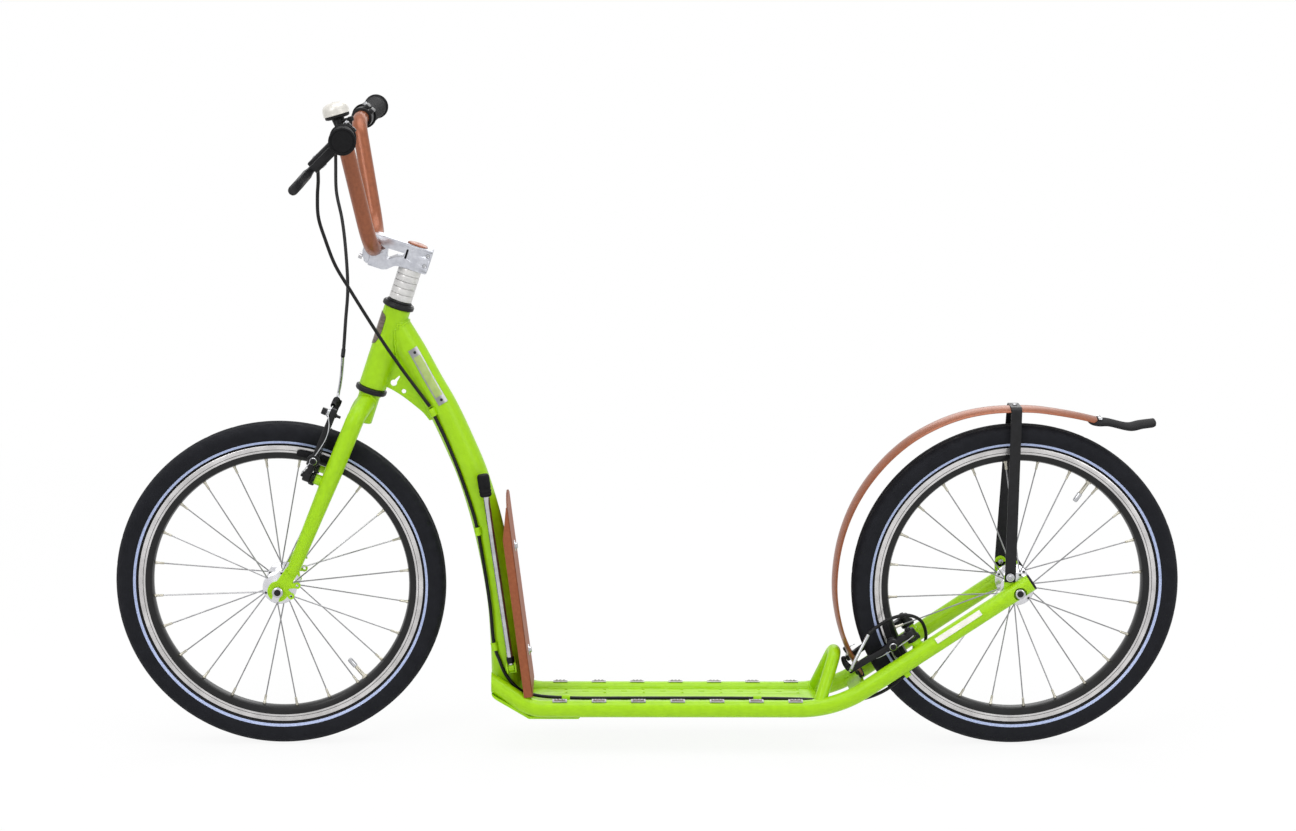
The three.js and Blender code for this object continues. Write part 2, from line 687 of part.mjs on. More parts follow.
// Splash guard: a sheet behind the main tube, its wings folded forward and its top arched
function splashGuard() {
  const height = (GUARD_TOP_Z - GUARD_FOOT_Z) / Math.cos(guardLean);
  const inside = GUARD_HALF_W - GUARD_T;
  const section = outlineShape([
    [-GUARD_WING, -GUARD_HALF_W], [0, -GUARD_HALF_W], [0, GUARD_HALF_W], [-GUARD_WING, GUARD_HALF_W],
    [-GUARD_WING, inside], [-GUARD_T, inside], [-GUARD_T, -inside], [-GUARD_WING, -inside],
  ]);
  const sheet = new THREE.ExtrudeGeometry(section, { depth: height, bevelEnabled: false });
  const wingTool = plateXZ([
    [-2 * GUARD_WING, height * 0.8], [-GUARD_WING, height * 0.8], [-GUARD_T - GAP, height * 0.97],
    [-GUARD_T - GAP, height + OVER], [-2 * GUARD_WING, height + OVER],
  ], -2 * GUARD_HALF_W, 2 * GUARD_HALF_W);
  const archTool = plateXZ(bothWays([
    [GUARD_HALF_W * 0.2, height], [GUARD_HALF_W * 0.62, height * 0.985],
    [GUARD_HALF_W + OVER, height * 0.955], [GUARD_HALF_W + OVER, height + OVER],
  ]), -2 * GUARD_WING, 2 * GUARD_WING);
  const body = cut(sheet, wingTool, archTool.rotateZ(Math.PI / 2));
  body.rotateY(-guardLean);
  body.translate(guardX(GUARD_FOOT_Z), 0, GUARD_FOOT_Z);
  const boltAt = vec(guardX(GUARD_BOLT_Z), 0, GUARD_BOLT_Z);
  return join(body, rodAlong(GUARD_BOLT_R, boltAt, X_AXIS, -GUARD_T / 2, GUARD_BOLT_T, COARSE));
}
add(frameGroup, 'splash_guard', splashGuard(), copper);

// Rear fender: an arched strip, set out as angles about the axle and shares of the tyre radius
const fenderShares = [
  [211.3, 1.093], [203, 1.1], [193, 1.106], [183, 1.1123], [174, 1.1148], [165, 1.119], [156.4, 1.123],
  [148, 1.126], [139.8, 1.128], [132, 1.13], [124.5, 1.13], [116, 1.126], [108, 1.121], [100, 1.113],
  [93.6, 1.107], [86, 1.107], [78.7, 1.109], [72, 1.12], [66, 1.137],
];
const fenderPath = fenderShares.map(([angle, share]) => go(rearAxle, atAngle(angle), share * TYRE_R));
const archSteps = [-1, -0.5, 0, 0.5, 1];
const archedSection = (halfWidth, below, above) => [
  ...archSteps.map((t) => [t * halfWidth, FENDER_ARCH * t * t + below]),
  ...archSteps.map((t) => [-t * halfWidth, FENDER_ARCH * t * t + above]),
];
const fenderSweep = (grow) => sweep(fenderPath, archedSection(FENDER_HALF_W, -grow, FENDER_T + grow));
add(frameGroup, 'rear_fender', fenderSweep(0), copper);

// Flat strap over the fender, bolted to the stay tabs
const fenderCrown = fenderPath[fenderShares.findIndex(([angle]) => angle < 90)];
const strapFootY = hubHalf + GAP + STRAP_T / 2;
const strapTopY = FENDER_HALF_W + GAP + STRAP_T;
const strapTopZ = fenderCrown.z + GAP + STRAP_T;
function strapFoot(side) {
  const outerFace = side * (strapFootY + STRAP_T / 2);
  return [
    rodAcross(STRAP_W / 2, tabPlace, side * (strapFootY - STRAP_T / 2), outerFace, MEDIUM),
    rodAcross(STRAP_BOLT_R, tabPlace, side * strapFootY, side * (strapFootY + 2 * STRAP_T), COARSE),
  ];
}
function strap() {
  const kneeZ = strapTopZ - 2 * STRAP_T;
  const clearZ = tabPlace.z + TAB_R + STRAP_T;
  const above = bothWays([
    [strapTopY - 2 * STRAP_T, strapTopZ], [strapTopY, kneeZ],
    [strapFootY + STRAP_T / 2, clearZ], [strapFootY + STRAP_T / 2, tabPlace.z],
  ]);
  const below = bothWays([
    [strapTopY - 2.4 * STRAP_T, strapTopZ - STRAP_T], [strapTopY - STRAP_T, kneeZ],
    [strapFootY - STRAP_T / 2, clearZ], [strapFootY - STRAP_T / 2, tabPlace.z],
  ]);
  const outline = outlineShape([...above, ...below.reverse()]);
  const band = new THREE.ExtrudeGeometry(outline, { depth: STRAP_W, bevelEnabled: false });
  band.translate(0, 0, -STRAP_W / 2);
  const lean = (axleX - STRAP_W / 2 - tabPlace.x) / (strapTopZ - tabPlace.z);
  const foot = vec(tabPlace.x - lean * tabPlace.z, 0, 0);
  return join(layOn(band, Y_AXIS, vec(lean, 0, 1), X_AXIS, foot), ...SIDES.flatMap(strapFoot));
}
add(frameGroup, 'fender_strap', strap(), black);

// Rubber flap at the end of the fender
const fenderTip = fenderPath[fenderPath.length - 1];
const flapShares = [[-0.16, 0], [0, -0.036], [0.16, -0.036], [0.53, -0.11], [0.7, -0.075], [0.94, -0.043]];
const flapLength = 4 * FLAP_HALF_W;
const flapPath = flapShares.map(([shareX, shareZ]) => (
  vec(fenderTip.x + shareX * flapLength, 0, fenderTip.z + shareZ * flapLength)
));
const flapSweep = sweep(flapPath, archedSection(FLAP_HALF_W, -FLAP_T / 2, FLAP_T / 2));
add(frameGroup, 'fender_flap', cut(flapSweep, fenderSweep(GAP)), rubber);

// Side stand, folded up beside the main tube
const standLean = deg(STAND_LEAN_DEG);
const standUp = vec(-Math.sin(standLean), 0, Math.cos(standLean));
const standAxis = vec(Math.cos(standLean), 0, Math.sin(standLean));
const standAt = vec(-STAND_X, -STAND_Y, STAND_Z);
const eyeHalf = STAND_EYE_T / 2;
const pinHalf = eyeHalf + RUN_GAP + STAND_CHEEK_T;
const cheekReach = STAND_EYE_R + STAND_CHEEK_T;
function standPlate(at, width, outerY, height) {
  const innerY = MAIN_WIDTH / 4;
  const plate = new THREE.BoxGeometry(width, outerY - innerY, height);
  plate.rotateY(-standLean);
  plate.translate(at.x, -(innerY + outerY) / 2, at.z);
  return plate;
}
function standBracket() {
  const cheeks = SIDES.map((side) => {
    const at = go(standAt, standAxis, side * (pinHalf - STAND_CHEEK_T / 2));
    return standPlate(at, STAND_CHEEK_T, STAND_Y + STAND_EYE_R, 2 * cheekReach);
  });
  const baseAt = go(standAt, standUp, STAND_CHEEK_T / 2 - cheekReach);
  const base = standPlate(baseAt, 2 * pinHalf, STAND_Y, STAND_CHEEK_T);
  const rear = standPlate(standAt, 2 * pinHalf, STAND_Y - STAND_EYE_R - RUN_GAP, 2 * cheekReach);
  const pin = rodAlong(STAND_PIN_R, standAt, standAxis, -pinHalf, pinHalf, COARSE);
  return cut(join(...cheeks, base, rear, pin), mainSweep(GAP));
}
add(frameGroup, 'stand_bracket', standBracket(), paint);

const standGroup = new THREE.Group();
bike.add(standGroup);
const standLeg = join(
  rodAlong(STAND_R, standAt, standUp, 0, STAND_LENGTH, COARSE),
  rodAlong(STAND_EYE_R, standAt, standAxis, -eyeHalf, eyeHalf, MEDIUM),
);
const eyeBore = rodAlong(STAND_PIN_R + RUN_GAP, standAt, standAxis, -STAND_EYE_T, STAND_EYE_T, COARSE);
add(standGroup, 'stand_rod', cut(standLeg, eyeBore), silver);
const footAt = go(standAt, standUp, STAND_LENGTH - FOOT_SEAT);
const standFoot = turnedAlong([
  [0, 0], [FOOT_R * 0.86, 0], [FOOT_R, FOOT_L * 0.12],
  [FOOT_R, FOOT_L * 0.9], [FOOT_R * 0.86, FOOT_L], [0, FOOT_L],
], footAt, standUp, MEDIUM);
const footSocket = rodAlong(STAND_R + GAP, standAt, standUp, 0, STAND_LENGTH + GAP, COARSE);
add(standGroup, 'stand_foot', cut(standFoot, footSocket), rubber);

// Heights up the steering line, from the crown to the top of the stem
const crownTop = cupFoot - GAP;
const crownFoot = -CROWN_DROP - BLADE_TOP_R * 0.3;
const raceStart = upperCupEnd + GAP;
const spacerStart = raceStart + RACE_T + GAP;
const spacerEnd = spacerStart + SPACER_COUNT * SPACER_T;
const stemStart = spacerEnd + GAP;
const stemEnd = stemStart + STEM_H;
const steererTop = stemEnd - GAP;

// Fork: steerer, crown, blades, dropouts and brake bosses welded into one piece
const axleLocal = vec(-RAKE, 0, -FORK_LENGTH);
const bladeTop = vec(-BLADE_TOP_V, BLADE_TOP_Y, -BLADE_SHOULDER);
const bladeEnd = vec(-BLADE_END_V, BLADE_END_Y, -FORK_LENGTH + BLADE_TIP);
const bladeDir = bladeTop.clone().sub(bladeEnd).normalize();
const boltOut = bladeDir.clone().cross(Y_AXIS).normalize();
const armDir = Y_AXIS.clone().cross(boltOut).normalize();
const studRoot = go(bladeEnd, bladeDir, FRONT_STUD_ALONG);
const frontStudAt = atY(studRoot, STUD_Y);
const eyeletPlaces = [
  [axleLocal.x + 1.25 * DROPOUT_R + EYELET_R, axleLocal.z + 0.62 * DROPOUT_R + 1.6 * EYELET_R],
  [axleLocal.x + 1.32 * DROPOUT_R, axleLocal.z - 0.36 * DROPOUT_R + EYELET_R],
];
const dropoutPlate = (outline) => plateXZ(outline, hubHalf, hubHalf + DROPOUT_T);
const eyeletPlates = eyeletPlaces.flatMap(([x, z]) => [
  dropoutPlate(circlePoints(x, z, EYELET_R, COARSE)),
  dropoutPlate([
    [axleLocal.x, axleLocal.z + DROPOUT_R * 0.2], [x, z - EYELET_R * 0.8],
    [x, z + EYELET_R * 0.8], [axleLocal.x, axleLocal.z + DROPOUT_R * 0.9],
  ]),
]);
function blade() {
  const length = bladeTop.distanceTo(bladeEnd);
  const leg = turnedAlong([
    [0, 0], [BLADE_END_R, 0], [BLADE_TOP_R, length * 0.7], [BLADE_TOP_R, length], [0, length],
  ], bladeEnd, bladeDir, MEDIUM);
  const crown = tube(rounded([
    go(bladeTop, bladeDir, -BLADE_TOP_R * 0.4),
    go(bladeTop, bladeDir, BLADE_TOP_R * 1.55),
    vec(0, CROWN_JOIN_Y, crownTop - BLADE_TOP_R * 0.9),
  ], CROWN_BEND_R, 4), BLADE_TOP_R);
  const boss = rodAlong(BOSS_R, frontStudAt, boltOut, 0, FRONT_BOSS, MEDIUM);
  const bossWeb = rod(BOSS_R * 0.8, studRoot, frontStudAt, COARSE);
  const stud = rodAlong(STUD_R, frontStudAt, boltOut, 0, FRONT_BOSS + STUD_LENGTH, COARSE);
  const disc = dropoutPlate(circlePoints(axleLocal.x, axleLocal.z, DROPOUT_R, ROUND));
  const tongue = dropoutPlate([
    [axleLocal.x - DROPOUT_R * 0.7, axleLocal.z],
    [axleLocal.x + DROPOUT_R * 0.8, axleLocal.z],
    [bladeEnd.x + BLADE_END_R, bladeEnd.z + BLADE_END_R],
    [bladeEnd.x - BLADE_END_R, bladeEnd.z + BLADE_END_R],
  ]);
  const hubNotch = rodAcross(DROPOUT_R + GAP, axleLocal, 0, hubHalf);
  const nutNotch = rodAcross(DROPOUT_R - GAP, axleLocal, hubHalf + DROPOUT_T, HUB_OLD);
  const bore = rodAcross(AXLE_R + GAP, axleLocal, 0, HUB_OLD, COARSE);
  const slotHalf = AXLE_R + GAP;
  const slotFoot = axleLocal.z - 2 * DROPOUT_R;
  const slot = block(axleLocal.x - slotHalf, axleLocal.x + slotHalf, 0, HUB_OLD, slotFoot, axleLocal.z);
  const eyeletHoles = eyeletPlaces.map(([x, z]) => (
    plateXZ(circlePoints(x, z, EYELET_HOLE_R, TINY), 0, HUB_OLD)
  ));
  const body = join(leg, crown, boss, bossWeb, stud, disc, tongue, ...eyeletPlates);
  return cut(body, hubNotch, nutNotch, slot, bore, ...eyeletHoles);
}
const rightBlade = blade();
const steerer = upright(turned([
  [0, crownFoot], [CROWN_R, crownFoot], [CROWN_R, crownTop],
  [STEERER_R, crownTop], [STEERER_R, steererTop], [0, steererTop],
]));
add(steering, 'fork', join(steerer, rightBlade, mirrorY(rightBlade)), paint);

// Headset race and spacers
const steererBoreR = STEERER_R + GAP;
add(steering, 'upper_race', upright(ring(RACE_R, steererBoreR, raceStart, raceStart + RACE_T)), black);
function spacers() {
  const points = [[steererBoreR, spacerStart]];
  for (let i = 0; i < SPACER_COUNT; i += 1) {
    const h = spacerStart + i * SPACER_T;
    points.push(
      [SPACER_R - SPACER_GROOVE, h],
      [SPACER_R, h + SPACER_GROOVE],
      [SPACER_R, h + SPACER_T - SPACER_GROOVE],
    );
  }
  points.push([SPACER_R - SPACER_GROOVE, spacerEnd], [steererBoreR, spacerEnd], [steererBoreR, spacerStart]);
  return upright(turned(points));
}
add(steering, 'spacer_stack', spacers(), silver);

// Stem, its faceplate and the cap
const barAt = vec(-STEM_REACH, 0, stemEnd - STEM_DROP);
const stemHalf = STEM_W / 2;
const stemChin = stemStart - STEM_CHIN;
const splitX = -STEM_REACH - STEM_FACE_SPLIT;
const barBore = rodAcross(BAR_R + GAP, barAt, -2 * STEM_W, 2 * STEM_W);
function stem() {
  const outline = [
    [STEM_REAR, stemStart], [STEM_REAR, stemEnd], [-STEM_REACH * 0.86, stemEnd],
    [splitX, stemEnd - STEM_H * 0.04], [splitX, stemChin], [-STEM_REACH * 0.66, stemChin],
    [-STEM_REACH * 0.54, stemChin + STEM_CHIN * 0.2], [-STEM_REACH * 0.4, stemStart - STEM_H * 0.06],
    [-STEM_REACH * 0.27, stemStart],
  ];
  const opening = [
    [-STEM_REACH * 0.69, stemStart + STEM_H * 0.56], [-STEM_REACH * 0.25, stemStart + STEM_H * 0.58],
    [-STEM_REACH * 0.25, stemStart + STEM_H * 0.4], [-STEM_REACH * 0.41, stemStart + STEM_H * 0.34],
    [-STEM_REACH * 0.63, stemStart + STEM_H * 0.06],
  ];
  const low = stemStart - OVER;
  const high = stemEnd + OVER;
  const steererBore = rod(steererBoreR, vec(0, 0, low), vec(0, 0, high));
  const split = block(0, STEM_REAR + OVER, -STEM_SLOT_W / 2, STEM_SLOT_W / 2, low, high);
  const portFoot = stemStart + STEM_H * 0.28;
  const portTop = stemStart + STEM_H * 0.62;
  const port = block(-STEERER_R * 0.86, -STEERER_R * 0.62, -STEM_W, STEM_W, portFoot, portTop);
  return cut(plateXZ(outline, -stemHalf, stemHalf, [opening]), steererBore, barBore, split, port);
}
add(steering, 'stem', stem(), silver);
function faceplate() {
  const rearX = splitX - GAP;
  const frontX = -STEM_REACH - STEM_FRONT;
  const middleX = (rearX + frontX) / 2;
  return cut(plateXZ([
    [rearX, stemEnd - STEM_H * 0.08], [rearX, stemChin + STEM_CHIN * 0.1],
    [middleX, stemChin + STEM_CHIN * 0.3], [frontX, stemStart + STEM_H * 0.14],
    [frontX, stemEnd - STEM_H * 0.34], [middleX, stemEnd - STEM_H * 0.12],
  ], -stemHalf, stemHalf), barBore);
}
add(steering, 'stem_faceplate', faceplate(), silver);
const capFoot = stemEnd + GAP;
add(steering, 'top_cap', upright(turned([
  [0, capFoot], [CAP_R, capFoot], [CAP_R, capFoot + CAP_T / 2],
  [CAP_R * 0.6, stemEnd + CAP_T], [0, capFoot + CAP_T],
])), copper);

// High-rise handlebar: a straight clamp, two rises and two swept ends
const barKnee = vec(-STEM_REACH - BAR_LEAN, BAR_KNEE_Y, barAt.z + BAR_RISE);
const endDir = vec(BAR_BACKSWEEP, BAR_HALF - BAR_KNEE_Y, BAR_END_RISE).normalize();
const onBar = (y) => go(barKnee, endDir, (y - barKnee.y) / endDir.y);
const gripFrom = BAR_HALF - GRIP_LENGTH;
const barEnd = go(onBar(gripFrom), endDir, GRIP_LENGTH - GRIP_CAP_T);
const halfBar = [atY(barAt, BAR_CLAMP_HALF), barKnee, barEnd];
const barCorners = [...halfBar.map(flipY).reverse(), ...halfBar];
const barBends = [BAR_KNEE_R, BAR_CLAMP_BEND_R, BAR_CLAMP_BEND_R, BAR_KNEE_R];
const barLine = [
  barCorners[0],
  ...barBends.flatMap((radius, i) => rounded(barCorners.slice(i, i + 3), radius, 5).slice(1, -1)),
  barEnd,
];
add(steering, 'handlebar', tube(barLine, BAR_R), copper);

// Grips, turned along the straight ends of the bar
const barForward = squareTo(vec(-1, 0, 0), endDir);
const barDown = squareTo(vec(0, 0, -1), endDir);
const gripBoreR = BAR_R + GAP;
const gripCapAt = GRIP_LENGTH - GRIP_CAP_T + GAP;
const gripBody = turned([
  [gripBoreR, 0], [GRIP_R + GAP, 0], [GRIP_R + GAP, GRIP_END_T], [GRIP_R, GRIP_END_T],
  [GRIP_R, GRIP_LENGTH - 2 * GRIP_END_T], [GRIP_END_R, GRIP_LENGTH - GRIP_END_T],
  [GRIP_END_R, GRIP_LENGTH - GAP], [GRIP_END_R * 0.9, GRIP_LENGTH], [0, GRIP_LENGTH],
  [0, gripCapAt], [gripBoreR, gripCapAt], [gripBoreR, 0],
]);
const gripBack = barForward.clone().negate();
const gripUp = endDir.clone().cross(barForward).normalize();
addPair(steering, 'grip', layOn(gripBody, gripBack, endDir, gripUp, onBar(gripFrom)), gripRubber);

// Lever perch: a clamp ring on the bar and an arm that slants forward and down
const perchSpot = onBar(gripFrom - GAP - PERCH_W / 2);
const perchSlant = deg(LEVER_ANGLE_DEG) + headTilt;
const perchLevel = go(CENTRE, barForward, Math.cos(perchSlant));
const perchOut = go(perchLevel, barDown, Math.sin(perchSlant)).normalize();
const perchSide = endDir.clone().cross(perchOut).normalize();
const perchPoint = (out, y) => go(go(perchSpot, perchOut, out), endDir, y);
const perchBack = perchOut.clone().cross(endDir);
const perchBox = (...sizes) => layOn(block(...sizes), perchOut, endDir, perchBack, perchSpot);
const leverPivot = perchPoint(LEVER_PIVOT, 0);
function perch() {
  const clamp = rodAlong(PERCH_R, perchSpot, endDir, -PERCH_W / 2, PERCH_W / 2);
  const arm = perchBox(0, PERCH_REACH, -PERCH_W / 2, PERCH_W / 2, -PERCH_T / 2, PERCH_T / 2);
  const bore = rodAlong(gripBoreR, perchSpot, endDir, -PERCH_W, PERCH_W);
  const slotFrom = PERCH_R + LEVER_ROOT_R * 0.9;
  const slotHalf = LEVER_T / 2 + RUN_GAP;
  const slot = perchBox(slotFrom, PERCH_REACH + OVER, -LEVER_ROOT_R, PERCH_W, -slotHalf, slotHalf);
  const pin = rodAlong(LEVER_PIN_R, leverPivot, perchSide, -PERCH_T / 2, PERCH_T / 2, COARSE);
  return join(cut(join(clamp, arm), bore, slot), pin);
}
addPair(steering, 'lever_perch', perch(), black);

// Lever blade, turning about the pin in the perch: its line is given as shares of its length
// and its six-sided section as shares of its half thickness and half width
const leverShares = [[0.1, 0.03], [0.3, 0.18], [0.6, 0.28], [0.86, 0.37], [1, 0.5]];
const leverSectionShares = [[-1, -0.6], [-1, 0.6], [-0.4, 1], [1, 0.9], [1, -0.9], [-0.4, -1]];
function leverBlade(points) {
  const thick = LEVER_T * 0.42;
  const last = points.length - 1;
  const positions = points.flatMap((point, i) => {
    const wide = THREE.MathUtils.lerp(LEVER_T, LEVER_W, THREE.MathUtils.smoothstep(i, 1, 5)) / 2;
    const along = points[Math.min(i + 1, last)].clone().sub(points[Math.max(i - 1, 0)]);
    const face = along.cross(perchSide).normalize();
    return leverSectionShares.flatMap(([u, w]) => (
      go(go(point, face, u * thick), perchSide, w * wide).toArray()
    ));
  });
  const sides = leverSectionShares.length;
  const index = [];
  for (let i = 0; i < last; i += 1) {
    for (let k = 0; k < sides; k += 1) {
      const a = i * sides + k;
      const b = i * sides + ((k + 1) % sides);
      index.push(a, b, a + sides, b, b + sides, a + sides);
    }
  }
  for (let k = 1; k < sides - 1; k += 1) {
    index.push(0, k + 1, k, last * sides, last * sides + k, last * sides + k + 1);
  }
  const geometry = new THREE.BufferGeometry();
  geometry.setAttribute('position', new THREE.Float32BufferAttribute(positions, 3));
  geometry.setIndex(index);
  return geometry;
}
function lever() {
  const curve = new THREE.CatmullRomCurve3(leverShares.map(([along, out]) => (
    perchPoint(LEVER_PIVOT + out * LEVER_LENGTH, along * LEVER_LENGTH)
  )));
  const body = leverBlade([leverPivot, ...curve.getSpacedPoints(TINY)]);
  const root = rodAlong(LEVER_ROOT_R - RUN_GAP, leverPivot, perchSide, -LEVER_T / 2, LEVER_T / 2, MEDIUM);
  const bore = rodAlong(LEVER_PIN_R + RUN_GAP, leverPivot, perchSide, -PERCH_T, PERCH_T, COARSE);
  return cut(join(root, body), bore);
}
addPair(steering, 'lever', lever(), black);

// Bell on the left of the bar, with a thumb lever that turns under its dome
const bellSpot = flipY(onBar(BELL_Y));
const bellDir = flipY(endDir);
const bellTilt = deg(BELL_TILT_DEG) - headTilt;
const bellUp = squareTo(vec(Math.sin(bellTilt), 0, Math.cos(bellTilt)), bellDir);
const bellFace = go(bellSpot, bellUp, BELL_STAND);
const thumbHeightShare = 0.66;
const thumbPivot = go(go(bellSpot, bellUp, thumbHeightShare * BELL_STAND), bellDir, BELL_R * 0.62);
function bellBase() {
  const pinEnd = (1 - thumbHeightShare) * BELL_STAND - BELL_WALL;
  const headEndAt = -THUMB_R - GAP;
  const body = join(
    rodAlong(BELL_BASE_R, bellSpot, bellDir, -BELL_RING_W / 2, BELL_RING_W / 2),
    rodAlong(BELL_RING_W * 0.7, bellSpot, bellUp, 0, BELL_STAND - BELL_WALL, COARSE),
    rodAlong(BELL_R * 0.94, bellFace, bellUp, -2 * BELL_WALL - GAP, -GAP),
    rodAlong(BELL_WALL * 1.6, bellFace, bellUp, -BELL_WALL, BELL_H - BELL_WALL - GAP, TINY),
    rodAlong(THUMB_PIN_R, thumbPivot, bellUp, -THUMB_R - BELL_WALL, pinEnd, TINY),
    rodAlong(THUMB_PIN_R * 1.7, thumbPivot, bellUp, headEndAt - BELL_WALL, headEndAt, TINY),
  );
  const straightBore = rodAlong(gripBoreR, bellSpot, bellDir, -BELL_RING_W, BELL_RING_W);
  return cut(body, tube(barLine, gripBoreR), straightBore);
}
add(steering, 'bell_base', bellBase(), black);
const domeSteps = 4;
const domeSide = (r, h) => Array.from({ length: domeSteps + 1 }, (_, i) => {
  const a = (Math.PI / 2) * (i / domeSteps);
  return [i === domeSteps ? 0 : r * Math.cos(a) ** 0.55, h * Math.sin(a) ** 0.8];
});
const domeInside = domeSide(BELL_R - BELL_WALL, BELL_H - BELL_WALL).reverse();
const dome = turnedAlong([...domeInside, ...domeSide(BELL_R, BELL_H)], bellFace, bellUp);
add(steering, 'bell_dome', dome, silver);
const thumbTip = go(thumbPivot, bellUp.clone().cross(bellDir).normalize(), THUMB_LENGTH);
const thumbBody = join(
  rodAlong(THUMB_R, thumbPivot, bellUp, -THUMB_R, THUMB_R, COARSE),
  rod(THUMB_R * 0.6, thumbPivot, thumbTip, TINY),
  rodAlong(THUMB_R * 1.1, thumbTip, bellUp, -THUMB_R * 0.8, THUMB_R * 0.8, COARSE),
);
const thumbBore = rodAlong(THUMB_PIN_R + GAP, thumbPivot, bellUp, -2 * THUMB_R, 2 * THUMB_R, TINY);
add(steering, 'bell_thumb_lever', cut(thumbBody, thumbBore), black);

// Axles with a nut at each end
function axle(nutAt) {
  const nutEnd = nutAt + AXLE_NUT_T;
  const bar = rodAlong(AXLE_R, CENTRE, Y_AXIS, -nutEnd - AXLE_R * 0.4, nutEnd + AXLE_R * 0.4, COARSE);
  const nuts = SIDES.map((side) => (
    rodAlong(AXLE_NUT_R, CENTRE, Y_AXIS, side * nutAt, side * nutEnd, HEXAGON)
  ));
  return join(bar, ...nuts);
}
add(steering, 'front_axle', axle(hubHalf + DROPOUT_T + GAP), steel).position.copy(axleLocal);
add(frameGroup, 'rear_axle', axle(hubHalf + STAY_WALL_T + GAP), steel).position.copy(rearAxle);

// A turned ring that is alike on both sides of the plane y = 0, from the [radius, y] points of one side
function wheelRing(side, middle, sides) {
  const loop = [...side.map(([r, y]) => [r, -y]), ...middle, ...[...side].reverse()];
  return turned([...loop, loop[0]], sides);
}

// Wheels: tyre, rim, hub laced with its spokes, valve
function tyre() {
  const w = TYRE_W / 2;
  return wheelRing([
    [RIM_R + GAP, BEAD_W / 2], [RIM_R + TYRE_H * 0.34, w * 0.94],
    [RIM_R + TYRE_H * 0.62, w], [RIM_R + TYRE_H * 0.88, w * 0.68],
  ], [[TYRE_R, 0]], FINE);
}
function rim() {
  const w = RIM_W / 2;
  return wheelRing([[RIM_INNER_R, w * 0.4], [RIM_INNER_R + RIM_DEPTH / 2, w], [RIM_R, w]], [], FINE);
}
function spoke(i) {
  const side = i % 2 === 0 ? -1 : 1;
  const crossing = i % 4 < 2 ? SPOKE_CROSS_DEG : -SPOKE_CROSS_DEG;
  const angle = SPOKE_START_DEG + (360 / SPOKE_COUNT) * i;
  const inner = atAngle(angle + crossing).multiplyScalar(HUB_FLANGE_R - SPOKE_INSET);
  const outer = atAngle(angle).multiplyScalar(RIM_INNER_R - GAP - SPOKE_R);
  return rod(SPOKE_R, atY(inner, side * HUB_FLANGE_Y), atY(outer, side * SPOKE_R * 1.5), SQUARE);
}
function hubAndSpokes() {
  const t = HUB_FLANGE_T / 2;
  const end = hubHalf - GAP;
  const shell = wheelRing([
    [AXLE_R + RUN_GAP, end], [HUB_END_R, end], [HUB_END_R, HUB_FLANGE_Y + 3 * t],
    [HUB_FLANGE_R, HUB_FLANGE_Y + t], [HUB_FLANGE_R, HUB_FLANGE_Y - t], [HUB_R, HUB_FLANGE_Y - 3 * t],
  ], [[HUB_R * 0.8, 0]], MEDIUM);
  return join(shell, ...Array.from({ length: SPOKE_COUNT }, (_, i) => spoke(i)));
}
function valve(angle) {
  const seat = RIM_INNER_R * Math.cos(Math.PI / FINE) - GAP;
  const out = atAngle(angle);
  return join(
    rodAlong(VALVE_R, CENTRE, out, seat, seat - VALVE_LENGTH * 0.66, TINY),
    rodAlong(VALVE_R * 1.25, CENTRE, out, seat - VALVE_LENGTH * 0.6, seat - VALVE_LENGTH, TINY),
  );
}
function placeWheel(name, at, valveAngle) {
  const wheel = new THREE.Group();
  wheel.position.copy(at);
  bike.add(wheel);
  add(wheel, `${name}_tyre`, tyre(), rubber);
  add(wheel, `${name}_rim`, rim(), silver);
  add(wheel, `${name}_hub_and_spokes`, hubAndSpokes(), steel);
  add(wheel, `${name}_valve`, valve(valveAngle), silver);
}
placeWheel('front', frontAxle, FRONT_VALVE_DEG);
placeWheel('rear', rearAxle, REAR_VALVE_DEG);

// Linear-pull brakes, built at the stud: local x up the arm, local z out along the stud.
// The arm's edge is given as shares of its length and, off its middle line, of its width
const armShares = [[0.3, 0.75], [0.75, 0.55], [1, 0.4], [1, -0.5], [0.75, -0.45], [0.3, -0.35]];
const armY = (share) => THREE.MathUtils.lerp(STUD_Y, ARM_TOP_Y, share);
function brakeArm(bossLength, padAt) {
  const z0 = bossLength + RUN_GAP;
  const outline = outlineShape([
    [0, STUD_Y - ARM_PIVOT_R * 0.9], [0, STUD_Y + ARM_PIVOT_R * 0.9],
    ...armShares.map(([along, out]) => [along * ARM_LENGTH, armY(along) + out * ARM_W]),
  ]);
  const strip = new THREE.ExtrudeGeometry(outline, { depth: ARM_T * 0.82, bevelEnabled: false });
  strip.translate(0, 0, z0 + ARM_T * 0.09);
  const pivotHub = rod(ARM_PIVOT_R, vec(0, STUD_Y, z0), vec(0, STUD_Y, z0 + ARM_T), MEDIUM);
  const postAt = vec(padAt, 0, z0 + ARM_T / 2);
  const postFrom = RIM_W / 2 + PAD_GAP + PAD_T + GAP;
  const post = rodAcross(PAD_POST_R + 2 * GAP, postAt, postFrom, armY(padAt / ARM_LENGTH) + ARM_W, COARSE);
  const boreEnd = 2 * (bossLength + STUD_LENGTH);
  const bore = rod(STUD_R + RUN_GAP, vec(0, STUD_Y, 0), vec(0, STUD_Y, boreEnd), COARSE);
  return cut(join(pivotHub, strip, post), bore);
}
